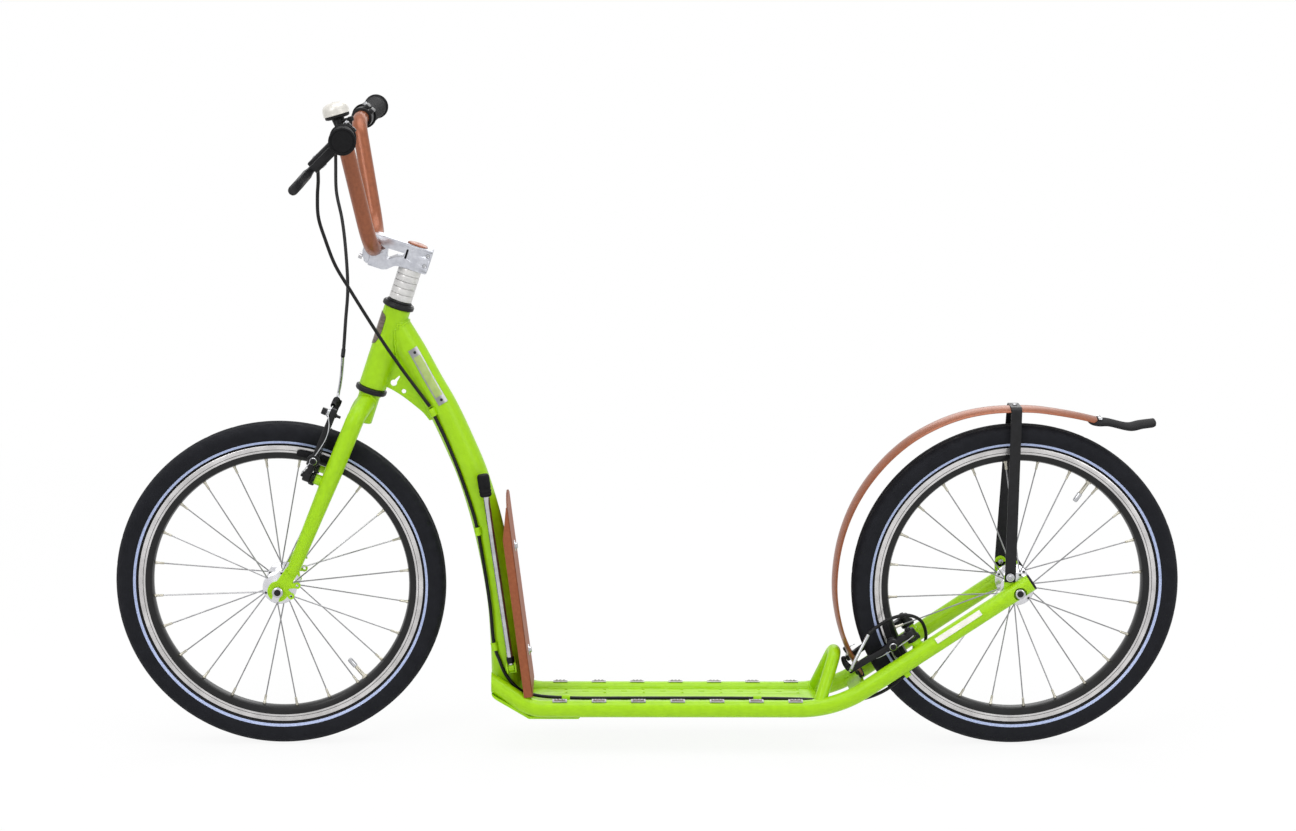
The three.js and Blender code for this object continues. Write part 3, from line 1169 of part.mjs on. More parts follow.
// Brake pad: a block that follows the rim, centred beside the arm
function brakePad(zMid, hubX, hubZ) {
  const r = RIM_R - PAD_INSIDE;
  const middle = Math.asin((zMid - hubZ) / r);
  const reach = PAD_L / r / 2;
  const steps = 4;
  const arc = (radius) => Array.from({ length: steps + 1 }, (_, i) => {
    const a = middle - reach + (2 * reach * i) / steps;
    return [hubX + radius * Math.cos(a), hubZ + radius * Math.sin(a)];
  });
  const y0 = RIM_W / 2 + PAD_GAP;
  return plateXZ([...arc(r + PAD_H / 2), ...arc(r - PAD_H / 2).reverse()], y0, y0 + PAD_T);
}
function placeBrake(name, origin, armLine, studLine, bossLength, hub) {
  const across = studLine.clone().cross(armLine).normalize();
  const group = new THREE.Group();
  group.position.copy(origin);
  group.quaternion.setFromRotationMatrix(new THREE.Matrix4().makeBasis(armLine, across, studLine));
  bike.add(group);
  const toHub = hub.clone().sub(origin);
  const hubX = toHub.dot(armLine);
  const hubZ = toHub.dot(studLine);
  const zMid = bossLength + RUN_GAP + ARM_T / 2;
  const padAt = hubX + Math.sqrt((RIM_R - PAD_INSIDE) ** 2 - (zMid - hubZ) ** 2);
  const arm = brakeArm(bossLength, padAt);
  const pad = brakePad(zMid, hubX, hubZ);
  const [near, far] = across.y < 0 ? ['left', 'right'] : ['right', 'left'];
  add(group, `${name}_brake_arm_${near}`, arm, black);
  add(group, `${name}_brake_arm_${far}`, mirrorY(arm), black);
  add(group, `${name}_brake_pad_${near}`, pad, rubber);
  add(group, `${name}_brake_pad_${far}`, mirrorY(pad), rubber);
}
const frontStudFoot = toWorld(atY(frontStudAt, 0));
placeBrake('front', frontStudFoot, turnToWorld(armDir), turnToWorld(boltOut), FRONT_BOSS, frontAxle);
placeBrake('rear', rearStudAt, stayDir.clone().negate(), stayUp, REAR_BOSS, rearAxle);

// Cable housings: routes chosen point by point, in the frame of the whole bike
function cord(route, steps, lead = []) {
  const points = [...lead, ...route.map((p) => vec(...p))];
  const spaced = new THREE.CatmullRomCurve3(points).getSpacedPoints(steps);
  return tube(lead.length ? [lead[0], lead[1], ...spaced.slice(1)] : spaced, CABLE_R, TINY);
}
function steeredCord(route, steps, lead) {
  const geometry = cord(route, steps, lead);
  geometry.translate(-headFoot.x, -headFoot.y, -headFoot.z);
  geometry.rotateY(-headTilt);
  return geometry;
}
const exitShare = 0.82;
const perchExit = [0, 1, 2].map((i) => (
  toWorld(perchPoint(exitShare * PERCH_REACH, -PERCH_W / 2 - RUN_GAP - i * CABLE_R))
));
const rearLoopRoute = [
  [-467, -141, 855], [-469, -135, 832], [-469, -126, 801], [-461, -114, 768], [-449, -99, 730],
  [-430, -81, 692], [-402, -54, 638], [-384, -41, 606], [-361, -29, 569], [-338, -24, 536],
  [-322, -21.5, 513],
];
const rearRunRoute = [
  [-320.5, -21.3, 510], [-300, -19.8, 466], [-277, -18.6, 407], [-256, -19.4, 340], [-245, -19, 280],
  [-235, -19, 212], [-229, -19.5, 152], [-221, -23, 130], [-211, -25, 108], [-190, -27, 86],
  [-165, -29, 77], [-120, -31, 73.4], [-20, -31.5, 73.4], [120, -31.5, 73.4], [240, -30.5, 73.6],
  [290, -31, 71], [325, -33, 77], [356, -34, 92], [385, -29, 116], [404, -28.5, 146], [410, -30, 172],
  [401, -36, 196], [380, -42, 206], [356, -40, 198], [338, -35, 184],
];
const frontRoute = [
  [-468, 138, 845], [-466, 122, 810], [-456, 98, 771], [-449, 72, 729], [-444, 40, 674],
  [-446, 22, 633], [-449, 10, 590], [-454, 4, 559], [-459, 0, 532],
];
add(steering, 'rear_cable_loop', steeredCord(rearLoopRoute, 32, perchExit.map(flipY)), black);
add(frameGroup, 'rear_cable_run', cord(rearRunRoute, 64), black);
add(steering, 'front_cable', steeredCord(frontRoute, 28, perchExit), black);

bike.updateMatrixWorld(true);
export default bike;
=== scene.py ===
import json
import math

import bmesh
import bpy
import numpy as np
from mathutils import Matrix, Vector


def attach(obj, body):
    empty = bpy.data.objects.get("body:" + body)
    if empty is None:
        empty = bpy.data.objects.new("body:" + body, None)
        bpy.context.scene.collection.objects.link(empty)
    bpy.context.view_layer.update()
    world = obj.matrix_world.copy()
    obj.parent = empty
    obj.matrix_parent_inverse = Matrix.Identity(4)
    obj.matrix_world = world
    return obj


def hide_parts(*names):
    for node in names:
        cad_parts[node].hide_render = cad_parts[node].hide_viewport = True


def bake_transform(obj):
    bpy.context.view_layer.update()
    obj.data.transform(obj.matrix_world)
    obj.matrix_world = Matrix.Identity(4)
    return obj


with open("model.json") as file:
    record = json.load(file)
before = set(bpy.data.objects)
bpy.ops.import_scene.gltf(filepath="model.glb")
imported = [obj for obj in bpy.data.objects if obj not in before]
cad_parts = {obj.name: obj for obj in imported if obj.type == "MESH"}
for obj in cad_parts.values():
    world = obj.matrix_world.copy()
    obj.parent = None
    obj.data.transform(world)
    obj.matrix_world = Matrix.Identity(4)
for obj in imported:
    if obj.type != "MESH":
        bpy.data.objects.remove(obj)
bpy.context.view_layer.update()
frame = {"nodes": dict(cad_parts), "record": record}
MM = 0.001
TURN = 2 * math.pi

# Vectors and curves, all in millimetres: +x to the rear wheel, +y to the rider's right, +z up


def vec(x, y, z):
    return np.array([x, y, z], float)


X_AXIS, Y_AXIS, Z_AXIS = vec(1, 0, 0), vec(0, 1, 0), vec(0, 0, 1)
ORIGIN = vec(0, 0, 0)
HANDS = ((1, "right"), (-1, "left"))


def unit(v):
    v = np.asarray(v, float)
    return v / np.linalg.norm(v)


def deg(a):
    return math.radians(a)


def lerp(a, b, t):
    return a + (b - a) * t


def route(rows):
    return [vec(*row) for row in rows]


def run_along(line):
    """The length of a line up to each of its points."""
    return np.r_[0, np.cumsum(np.linalg.norm(np.diff(line, axis=0), axis=1))]


def smooth_through(points, per=12):
    """Points of a curve that passes through every listed point."""
    p = [np.asarray(q, float) for q in points]
    p = [2 * p[0] - p[1]] + p + [2 * p[-1] - p[-2]]
    out = []
    for i in range(1, len(p) - 2):
        a, b, c, d = p[i - 1:i + 3]
        ta, tb, tc = (np.linalg.norm(side) ** 0.5 for side in (b - a, c - b, d - c))
        m1 = (c - b) + tb * ((b - a) / ta - (c - a) / (ta + tb))
        m2 = (c - b) + tb * ((d - c) / tc - (d - b) / (tb + tc))
        for k in range(per):
            t = k / per
            out.append((2 * t**3 - 3 * t**2 + 1) * b + (t**3 - 2 * t**2 + t) * m1
                       + (3 * t**2 - 2 * t**3) * c + (t**3 - t**2) * m2)
    out.append(p[-2])
    return np.array(out)


def even(points, count):
    """The same line in evenly spaced steps."""
    p = np.asarray(points, float)
    run = run_along(p)
    at = np.linspace(0, run[-1], count)
    return np.stack([np.interp(at, run, p[:, k]) for k in range(3)], 1)


def arc_between(centre, start, end, steps):
    """Points of the arc about a centre, from one arm to another."""
    turn = math.acos(np.clip(unit(start) @ unit(end), -1, 1))
    return [centre + (math.sin((1 - t) * turn) * start + math.sin(t * turn) * end) / math.sin(turn)
            for t in np.linspace(0, 1, steps + 1)]


def bent(corners, radii, steps=14):
    """Straight runs with each inner corner rounded to its radius."""
    c = [np.asarray(q, float) for q in corners]
    out = [c[0]]
    for i, r in enumerate(radii, 1):
        before, after = unit(c[i - 1] - c[i]), unit(c[i + 1] - c[i])
        half = math.acos(np.clip(before @ after, -1, 1)) / 2
        centre = c[i] + unit(before + after) * r / math.sin(half)
        back = r / math.tan(half)
        out += arc_between(centre, c[i] + before * back - centre, c[i] + after * back - centre, steps)
    out.append(c[-1])
    return np.array(out)


def soft_corners(outline, radii, steps=5):
    """A closed outline with its corners rounded."""
    pts = [np.array(q, float) for q in outline]
    out = []
    for i, (b, radius) in enumerate(zip(pts, radii)):
        a, c = pts[i - 1], pts[(i + 1) % len(pts)]
        u, w = unit(a - b), unit(c - b)
        half = math.acos(np.clip(u @ w, -1, 1)) / 2
        if half > 1.5:
            out.append(tuple(b))
            continue
        shortest = min(np.linalg.norm(a - b), np.linalg.norm(c - b))
        back = min(radius / math.tan(half), 0.48 * shortest)
        centre = b + unit(u + w) * back / math.cos(half)
        out += [tuple(q) for q in arc_between(centre, b + u * back - centre, b + w * back - centre, steps)]
    return out


def frames(points):
    """Tangents and two steady side directions along a line."""
    p = np.asarray(points, float)
    t = np.gradient(p, axis=0)
    t /= np.linalg.norm(t, axis=1)[:, None]
    first = Y_AXIS if abs(t[0][1]) < 0.9 else X_AXIS
    n = [unit(first - (first @ t[0]) * t[0])]
    for i in range(1, len(p)):
        n.append(unit(n[-1] - (n[-1] @ t[i]) * t[i]))
    n = np.array(n)
    return t, n, np.cross(t, n)


def circle(x, y, r, count=28, start=0.0):
    return [(x + r * math.cos(start + TURN * k / count), y + r * math.sin(start + TURN * k / count))
            for k in range(count)]


def ring_of(centre, u, w, r, count=40):
    """Points of a circle about a centre, in the plane of two directions."""
    return [centre + u * r * math.cos(a) + w * r * math.sin(a)
            for a in np.linspace(0, TURN, count, endpoint=False)]


# Meshes


class Shape:
    """Collects points and faces, with a material number for each face."""

    def __init__(self):
        self.points, self.faces, self.kinds = [], [], []

    def grid(self, rows, ring=True, loop=False, kind=0, cap=False, kinds=None):
        """A skin over rows of points. ring closes each row, loop joins the last row to the first."""
        base, m, n = len(self.points), len(rows[0]), len(rows)
        for row in rows:
            self.points.extend(np.asarray(row, float))
        for i in range(n if loop else n - 1):
            for k in range(m if ring else m - 1):
                here, above = base + i * m, base + (i + 1) % n * m
                self.faces.append((here + k, here + (k + 1) % m, above + (k + 1) % m, above + k))
                self.kinds.append(kind if kinds is None else kinds[k])
        if cap:
            self.faces.append(tuple(base + k for k in reversed(range(m))))
            self.faces.append(tuple(base + (n - 1) * m + k for k in range(m)))
            self.kinds += [kind, kind]
        return self

    def tube(self, points, radius, sides=24, kind=0, loop=False):
        """A round bar along a line, with one radius or one for each point."""
        r = np.broadcast_to(np.asarray(radius, float), (len(points),))
        _, n, b = frames(points)
        rows = [ring_of(p, nn, bb, rr, sides) for p, nn, bb, rr in zip(points, n, b, r)]
        return self.grid(rows, cap=not loop, kind=kind, loop=loop)

    def rod(self, a, b, r, sides=24, edge=0.0, r2=None, kind=0):
        """A round bar between two points, its end edges bevelled."""
        a, b = np.asarray(a, float), np.asarray(b, float)
        r2 = r if r2 is None else r2
        long = np.linalg.norm(b - a)
        e = min(edge, 0.45 * long)
        profile = [(0, 0), (r, 0), (r2, long), (0, long)]
        if e:
            profile = [(0, 0), (max(r - e, 0.01), 0), (r, e), (r2, long - e), (max(r2 - e, 0.01), long),
                       (0, long)]
        return self.lathe(profile, a, b - a, sides, kind)

    def lathe(self, profile, origin, axis, sides=48, kind=0, closed=False, kinds=None):
        """A turned form from (radius, height) points about an axis."""
        axis = unit(axis)
        first = Y_AXIS if abs(axis[1]) < 0.9 else X_AXIS
        u = unit(first - (first @ axis) * axis)
        w = np.cross(axis, u)
        rows = [[origin + out * max(r, 1e-4) + axis * h for r, h in profile]
                for out in ring_of(0, u, w, 1, sides)]
        return self.grid(rows, ring=closed, loop=True, kind=kind, kinds=kinds)

    def box(self, size, place, x=X_AXIS, y=Y_AXIS, z=Z_AXIS, edge=0.6, kind=0):
        """A block with rounded edges, centred on place."""
        bm = bmesh.new()
        bmesh.ops.create_cube(bm, size=1.0)
        bmesh.ops.scale(bm, vec=Vector(size), verts=bm.verts)
        if edge:
            bmesh.ops.bevel(bm, geom=list(bm.edges), offset=edge, segments=2, affect="EDGES", profile=0.5)
        return self.take(bm, np.stack([unit(x), unit(y), unit(z)], 1), place, kind)

    def take(self, bm, basis, place, kind=0):
        base = len(self.points)
        bm.verts.index_update()
        for v in bm.verts:
            self.points.append(basis @ np.array(v.co) + np.asarray(place, float))
        for f in bm.faces:
            self.faces.append(tuple(base + v.index for v in f.verts))
            self.kinds.append(kind)
        bm.free()
        return self

    def plate(self, outline, thick, place, x=X_AXIS, y=Z_AXIS, holes=(), edge=0.0, steps=2):
        """A flat plate cut to an outline, with holes and rounded edges. x and y span its plane."""
        curve = bpy.data.curves.new("outline", "CURVE")
        curve.dimensions, curve.fill_mode = "2D", "BOTH"
        curve.extrude, curve.bevel_depth, curve.bevel_resolution = thick / 2 - edge, edge, steps
        curve.offset = -edge
        for line in [outline, *holes]:
            spline = curve.splines.new("POLY")
            spline.points.add(len(line) - 1)
            for q, (a, b) in zip(spline.points, line):
                q.co = (a, b, 0, 1)
            spline.use_cyclic_u = True
        thing = bpy.data.objects.new("outline", curve)
        bpy.context.scene.collection.objects.link(thing)
        graph = bpy.context.evaluated_depsgraph_get()
        mesh = bpy.data.meshes.new_from_object(thing.evaluated_get(graph))
        bm = bmesh.new()
        bm.from_mesh(mesh)
        bmesh.ops.remove_doubles(bm, verts=bm.verts, dist=1e-4)
        bpy.data.objects.remove(thing)
        bpy.data.curves.remove(curve)
        bpy.data.meshes.remove(mesh)
        x, y = unit(x), unit(y)
        return self.take(bm, np.stack([x, y, np.cross(x, y)], 1), place)

    def mirror(self):
        """A copy on the other side of the plane of the frame."""
        other = Shape()
        other.points = [p * vec(1, -1, 1) for p in self.points]
        other.faces = [tuple(reversed(f)) for f in self.faces]
        other.kinds = list(self.kinds)
        return other

    def add(self, other):
        base = len(self.points)
        self.points += other.points
        self.faces += [tuple(base + i for i in f) for f in other.faces]
        self.kinds += other.kinds
        return self

    def raw(self):
        """A plain object of the form in millimetres, for a boolean."""
        mesh = bpy.data.meshes.new("form")
        mesh.from_pydata([tuple(p) for p in self.points], [], self.faces)
        mesh.polygons.foreach_set("material_index", self.kinds)
        bm = bmesh.new()
        bm.from_mesh(mesh)
        bmesh.ops.remove_doubles(bm, verts=bm.verts, dist=1e-3)
        bmesh.ops.recalc_face_normals(bm, faces=bm.faces)
        bm.to_mesh(mesh)
        bm.free()
        thing = bpy.data.objects.new("form", mesh)
        bpy.context.scene.collection.objects.link(thing)
        return thing

    def cut(self, *tools, mode="DIFFERENCE", soft=0.0):
        """Cuts other shapes out of this one, and can round the edges that leaves."""
        made = [self.raw()] + [t.raw() for t in tools]
        for t in made[1:]:
            step = made[0].modifiers.new("cut", "BOOLEAN")
            step.operation, step.solver, step.object = mode, "EXACT", t
        if soft:
            step = made[0].modifiers.new("soft", "BEVEL")
            step.width, step.segments, step.limit_method, step.angle_limit = soft, 3, "ANGLE", deg(38)
            step.use_clamp_overlap = True
        graph = bpy.context.evaluated_depsgraph_get()
        mesh = bpy.data.meshes.new_from_object(made[0].evaluated_get(graph))
        self.points = [np.array(v.co) for v in mesh.vertices]
        self.faces = [tuple(f.vertices) for f in mesh.polygons]
        self.kinds = [f.material_index for f in mesh.polygons]
        bpy.data.meshes.remove(mesh)
        for t in made:
            bpy.data.meshes.remove(t.data)
        return self

    def weld(self, points, r=1.9, loop=False):
        """A rippled weld bead along a line."""
        pitch, step, ripple = 2.6, 0.65, 0.07
        p = np.asarray(points, float)
        if loop:
            p = np.vstack([p, p[:1]])
        long = run_along(p)[-1]
        p = even(p, max(12, int(long / step)))
        if loop:
            p = p[:-1]
        s = np.arange(len(p)) * long / len(p)
        return self.tube(p, r * (1 + ripple * np.abs(np.sin(math.pi * s / pitch))), 10, loop=loop)

    def make(self, name, materials, body, stands_for=None, crease=32, bend=None):
        """The finished piece. It rides on one body, or, given bend, is left in place on no body; the points
        in bend are not used.
        """
        mesh = bpy.data.meshes.new(name)
        mesh.from_pydata([tuple(p * MM) for p in self.points], [], self.faces)
        for m in materials if isinstance(materials, list) else [materials]:
            mesh.materials.append(m)
        mesh.polygons.foreach_set("material_index", self.kinds)
        bm = bmesh.new()
        bm.from_mesh(mesh)
        bmesh.ops.recalc_face_normals(bm, faces=bm.faces)
        for f in bm.faces:
            f.smooth = True
        for e in bm.edges:
            e.smooth = not (len(e.link_faces) == 2 and e.calc_face_angle(0) > deg(crease))
        bm.to_mesh(mesh)
        bm.free()
        piece = bpy.data.objects.new(name, mesh)
        bpy.context.scene.collection.objects.link(piece)
        if bend:
            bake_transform(piece)
        else:
            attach(piece, body)
        if stands_for:
            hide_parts(stands_for)
        return piece


def skin(rows):
    """A closed form over rows of points, each row a ring."""
    return Shape().grid(rows, cap=True)


# Materials


def srgb(r, g, b):
    f = [c / 255 for c in (r, g, b)]
    return tuple(c / 12.92 if c <= 0.04045 else ((c + 0.055) / 1.055) ** 2.4 for c in f) + (1,)


def material(name, colour, other, rough, metal=0.0, grain=400.0, bump=0.02, depth=0.0002,
             coat=0.0, coat_rough=0.05, stretch=(1, 1, 1), shine=0.5):
    """A finish whose colour, roughness and surface vary with noise at the stated scale."""
    m = bpy.data.materials.new(name)
    m.use_nodes = True
    nodes, links = m.node_tree.nodes, m.node_tree.links
    shader = nodes["Principled BSDF"]
    where, place = nodes.new("ShaderNodeTexCoord"), nodes.new("ShaderNodeMapping")
    place.inputs["Scale"].default_value = stretch
    links.new(where.outputs["Object"], place.inputs["Vector"])
    broad, detail = nodes.new("ShaderNodeTexNoise"), nodes.new("ShaderNodeTexNoise")
    for noise, scale, octaves in ((broad, grain / 12, 3), (detail, grain, 2)):
        noise.inputs["Scale"].default_value = scale
        noise.inputs["Detail"].default_value = octaves
        links.new(place.outputs["Vector"], noise.inputs["Vector"])
    ramp, amount = nodes.new("ShaderNodeValToRGB"), nodes.new("ShaderNodeMapRange")
    for end, paint, at in zip(ramp.color_ramp.elements, (colour, other), (0.35, 0.65)):
        end.color, end.position = srgb(*paint), at
    amount.inputs["To Min"].default_value, amount.inputs["To Max"].default_value = rough
    relief = nodes.new("ShaderNodeBump")
    relief.inputs["Strength"].default_value = bump
    relief.inputs["Distance"].default_value = depth
    links.new(broad.outputs["Fac"], ramp.inputs["Fac"])
    links.new(ramp.outputs["Color"], shader.inputs["Base Color"])
    links.new(broad.outputs["Fac"], amount.inputs["Value"])
    links.new(amount.outputs["Result"], shader.inputs["Roughness"])
    links.new(detail.outputs["Fac"], relief.inputs["Height"])
    links.new(relief.outputs["Normal"], shader.inputs["Normal"])
    shader.inputs["Metallic"].default_value = metal
    shader.inputs["Specular IOR Level"].default_value = shine
    shader.inputs["Coat Weight"].default_value = coat
    shader.inputs["Coat Roughness"].default_value = coat_rough
    return m


LIME = material("powder_coat_lime", (150, 200, 2), (157, 207, 6), (0.34, 0.42),
                grain=1400, bump=0.05, coat=0.08, coat_rough=0.2, shine=0.28)
COPPER = material("metallic_copper", (133, 76, 50), (145, 84, 55), (0.32, 0.40),
                  metal=0.3, grain=2600, bump=0.03, coat=0.18, coat_rough=0.14, shine=0.3)
GUARD_PAINT = material("satin_copper", (137, 78, 52), (149, 87, 58), (0.46, 0.54), grain=2600, bump=0.03,
                       shine=0.12)
ALLOY = material("blasted_alloy", (186, 188, 196), (204, 206, 213), (0.28, 0.38), metal=0.75, grain=1800,
                 bump=0.05)
POLISHED = material("polished_alloy", (204, 204, 208), (218, 218, 222), (0.14, 0.24), metal=0.9, grain=900)
BRIGHT = material("bright_steel", (176, 177, 180), (196, 197, 200), (0.18, 0.28), metal=1.0, grain=1200)
SPOKE = material("spoke_steel", (138, 138, 140), (160, 160, 162), (0.25, 0.36), metal=0.9, grain=900)
SATIN = material("satin_black_alloy", (13, 13, 15), (20, 20, 23), (0.34, 0.46),
                 metal=0.1, grain=1600, bump=0.06, shine=0.3)
GLOSSY = material("anodised_black", (10, 10, 12), (17, 17, 20), (0.2, 0.3),
                  metal=0.15, grain=900, bump=0.03, shine=0.35)
PLASTIC = material("moulded_black", (13, 13, 15), (19, 19, 21), (0.45, 0.6), grain=2200, bump=0.12,
                   shine=0.22)
HOUSING = material("cable_housing", (10, 10, 11), (16, 16, 18), (0.32, 0.42), grain=700, bump=0.03,
                   shine=0.25)
RUBBER = material("soft_rubber", (16, 16, 18), (23, 23, 25), (0.62, 0.78), grain=1500, bump=0.15,
                  shine=0.16)
GRIP = material("grip_rubber", (11, 11, 13), (18, 18, 20), (0.6, 0.75), grain=2600, bump=0.25, shine=0.16)
TYRE = material("tyre_tread", (20, 21, 26), (26, 27, 32), (0.66, 0.82), grain=900, bump=0.2, depth=0.0004,
                shine=0.16)
BEAD = material("tyre_bead", (11, 11, 13), (17, 17, 19), (0.5, 0.62), grain=1400, bump=0.1, shine=0.2)
STRIPE = material("reflective_band", (160, 174, 214), (180, 192, 226), (0.35, 0.45), grain=4000, bump=0.2)
TRACK = material("machined_track", (190, 188, 188), (212, 210, 210), (0.2, 0.32), metal=0.8, grain=500,
                 bump=0.03)
RIM_BLACK = material("rim_black", (12, 12, 13), (19, 19, 21), (0.28, 0.38),
                     metal=0.1, grain=900, bump=0.03, coat=0.1, shine=0.3)
BADGE = material("bare_badge", (96, 84, 76), (126, 114, 102), (0.26, 0.38),
                 metal=0.6, grain=700, bump=0.04, stretch=(1, 1, 6))
# Silver metal tinted lime: the tint is a painted reflection of the lime tube that the plate sits on.
LIME_REFLECTION_PLATE = material("name_plate_painted_lime_reflection", (150, 172, 92), (168, 186, 116), (0.36, 0.46),
                 metal=0.3, grain=900, bump=0.03, shine=0.3)
CREAM = material("clear_spacer", (198, 197, 196), (216, 215, 213), (0.24, 0.36),
                 metal=0.3, grain=700, bump=0.05, coat=0.2)
LABEL = material("pale_label", (224, 222, 212), (234, 232, 224), (0.4, 0.5), grain=700)
NICKEL = material("nickelled_brass", (176, 172, 158), (194, 190, 178), (0.22, 0.34), metal=0.9, grain=1200,
                  bump=0.03)
PEARL = material("pearl_nickel", (206, 203, 196), (218, 215, 208), (0.3, 0.4), metal=0.25, grain=900)

# Camera, stage and light

YAW, PITCH, ROLL = 0.0219, 0.1892, 0.0074
PHOTO_WIDTH, FOCAL_PIXELS = 1296, 2767.6
EYE = (-0.09078, -3.9852, 1.2597)
ahead = vec(math.sin(YAW) * math.cos(PITCH), math.cos(YAW) * math.cos(PITCH), -math.sin(PITCH))
level = vec(math.cos(YAW), -math.sin(YAW), 0)
above = np.cross(level, ahead)
cam_right = level * math.cos(ROLL) + above * math.sin(ROLL)
cam_up = -level * math.sin(ROLL) + above * math.cos(ROLL)
camera = bpy.data.cameras.new("view")
camera.sensor_width = 36
camera.lens = camera.sensor_width * FOCAL_PIXELS / PHOTO_WIDTH
camera.clip_end = 50
view = bpy.data.objects.new("view", camera)
view.matrix_world = Matrix([[*row] for row in zip(cam_right, cam_up, -ahead, EYE)] + [[0, 0, 0, 1]])
bpy.context.scene.collection.objects.link(view)
bpy.context.scene.camera = view


def seen_rays(tree):
    """One where the camera, a mirror or glass looks at the surface, and nought where it only lights."""
    path = tree.nodes.new("ShaderNodeLightPath")
    total = path.outputs["Is Camera Ray"]
    for ray in ("Is Glossy Ray", "Is Transmission Ray"):
        add = tree.nodes.new("ShaderNodeMath")
        add.operation, add.use_clamp = "ADD", True
        tree.links.new(total, add.inputs[0])
        tree.links.new(path.outputs[ray], add.inputs[1])
        total = add.outputs[0]
    return total


def paper(name, colour, glow):
    """A pale matt surface that looks nearly white, whiter far from the object, and keeps a soft shadow."""
    m = bpy.data.materials.new(name)
    m.use_nodes = True
    nodes, links = m.node_tree.nodes, m.node_tree.links
    shader = nodes["Principled BSDF"]
    shader.inputs["Roughness"].default_value = 0.9
    where, cloud = nodes.new("ShaderNodeTexCoord"), nodes.new("ShaderNodeTexNoise")
    cloud.inputs["Scale"].default_value = 3
    ramp = nodes.new("ShaderNodeValToRGB")
    ramp.color_ramp.elements[0].color = colour
    ramp.color_ramp.elements[1].color = tuple(min(1, c * 1.01) for c in colour)
    links.new(where.outputs["Object"], cloud.inputs["Vector"])
    links.new(cloud.outputs["Fac"], ramp.inputs["Fac"])
    links.new(ramp.outputs["Color"], shader.inputs["Base Color"])
    far, reach = nodes.new("ShaderNodeVectorMath"), nodes.new("ShaderNodeMapRange")
    far.operation = "LENGTH"
    links.new(where.outputs["Object"], far.inputs[0])
    links.new(far.outputs["Value"], reach.inputs["Value"])
    reach.inputs["From Min"].default_value, reach.inputs["From Max"].default_value = 0.7, 2.6
    reach.inputs["To Min"].default_value, reach.inputs["To Max"].default_value = glow, 1.0
    share, mix, light = (nodes.new("ShaderNode" + kind) for kind in ("Math", "MixShader", "Emission"))
    share.operation = "MULTIPLY"
    links.new(seen_rays(m.node_tree), share.inputs[0])
    links.new(reach.outputs["Result"], share.inputs[1])
    links.new(share.outputs[0], mix.inputs["Fac"])
    links.new(shader.outputs[0], mix.inputs[1])
    links.new(light.outputs[0], mix.inputs[2])
    links.new(mix.outputs[0], nodes["Material Output"].inputs["Surface"])
    return m


FLOOR_HALF = 30
ground = bpy.data.meshes.new("studio_floor")
ground.from_pydata([(x * FLOOR_HALF, y * FLOOR_HALF, 0) for x, y in ((-1, -1), (1, -1), (1, 1), (-1, 1))],
                   [], [(0, 1, 2, 3)])
ground.materials.append(paper("studio_paper", (0.86, 0.86, 0.86, 1), 0.9))
floor = bpy.data.objects.new("studio_floor", ground)
bpy.context.scene.collection.objects.link(floor)

bpy.context.scene.view_settings.view_transform = "Standard"
world = bpy.data.worlds.new("studio")
bpy.context.scene.world = world
world.use_nodes = True
sky = world.node_tree.nodes["Background"]
sky.inputs["Color"].default_value = (1, 1, 1, 1)
strength = world.node_tree.nodes.new("ShaderNodeMapRange")
strength.inputs["To Min"].default_value, strength.inputs["To Max"].default_value = 0.6, 1.0
world.node_tree.links.new(seen_rays(world.node_tree), strength.inputs["Value"])
world.node_tree.links.new(strength.outputs["Result"], sky.inputs["Strength"])


def lamp(name, place, aim_z, size, power, size_y=None):
    """A soft lamp that looks at a height on the object's middle."""
    data = bpy.data.lights.new(name, "AREA")
    data.shape, data.size, data.size_y, data.energy = "RECTANGLE", size, size_y or size, power
    thing = bpy.data.objects.new(name, data)
    thing.location = place
    thing.rotation_euler = (Vector((0, 0, aim_z)) - Vector(place)).to_track_quat("-Z", "Y").to_euler()
    bpy.context.scene.collection.objects.link(thing)


lamp("overhead", (0, -0.3, 3.4), 0.4, 3.2, 60, 2.2)
lamp("key", (-2.4, -3.0, 2.6), 0.4, 1.8, 46)
lamp("fill", (2.6, -2.8, 1.6), 0.4, 1.6, 22)
lamp("back", (0.5, 3.0, 2.4), 0.5, 2.0, 26)

# Places shared by the pieces

AXLE_X, TYRE_R, HEAD_L = 543.4, 243.0, 122.4
TILT = math.pi / 2 - deg(71.81)
UP = vec(math.sin(TILT), 0, math.cos(TILT))
BACK = vec(math.cos(TILT), 0, -math.sin(TILT))
AXLE_F, AXLE_B = vec(-AXLE_X, 0, TYRE_R), vec(AXLE_X, 0, TYRE_R)
RAKE_X, RAKE_Z = -37.7, -318.9
HEAD = AXLE_F - UP * RAKE_Z - BACK * RAKE_X
SIDE_R, RAIL_Z, RAIL_Y, STAY_Y = 12.7, 64.5, 49.5, 52.3
STAY_SLOPE = deg(34.4)
STAY = vec(math.cos(STAY_SLOPE), 0, math.sin(STAY_SLOPE))
STAY_UP = vec(-STAY[2], 0, STAY[0])
GAP = 0.3


def steer(x, y, z):
    """A point on the steering line's own axes."""
    return HEAD + BACK * x + UP * z + vec(0, y, 0)


def off_axis(p, origin, axis):
    """How far a point is from the line through origin along axis."""
    rel = p - origin
    return np.linalg.norm(rel - (rel @ axis) * axis)


def seam(rings, origin, axis, r):
    """Where the lines along a tube's skin first leave the round bar of radius r about an axis."""
    found = []
    for line in zip(*rings):
        found += [q for q in line if off_axis(q, origin, axis) > r][:1]
    return found


def make_both(*pieces):
    """Pieces on the rider's right, then their mirror images on the left. Each name has a gap for the side."""
    for s, word in HANDS:
        for form, name, finish, body, node in pieces:
            made = form if s > 0 else form.mirror()
            made.make(name.format(word), finish, body.format(word), node and node.format(word))


# Wheels


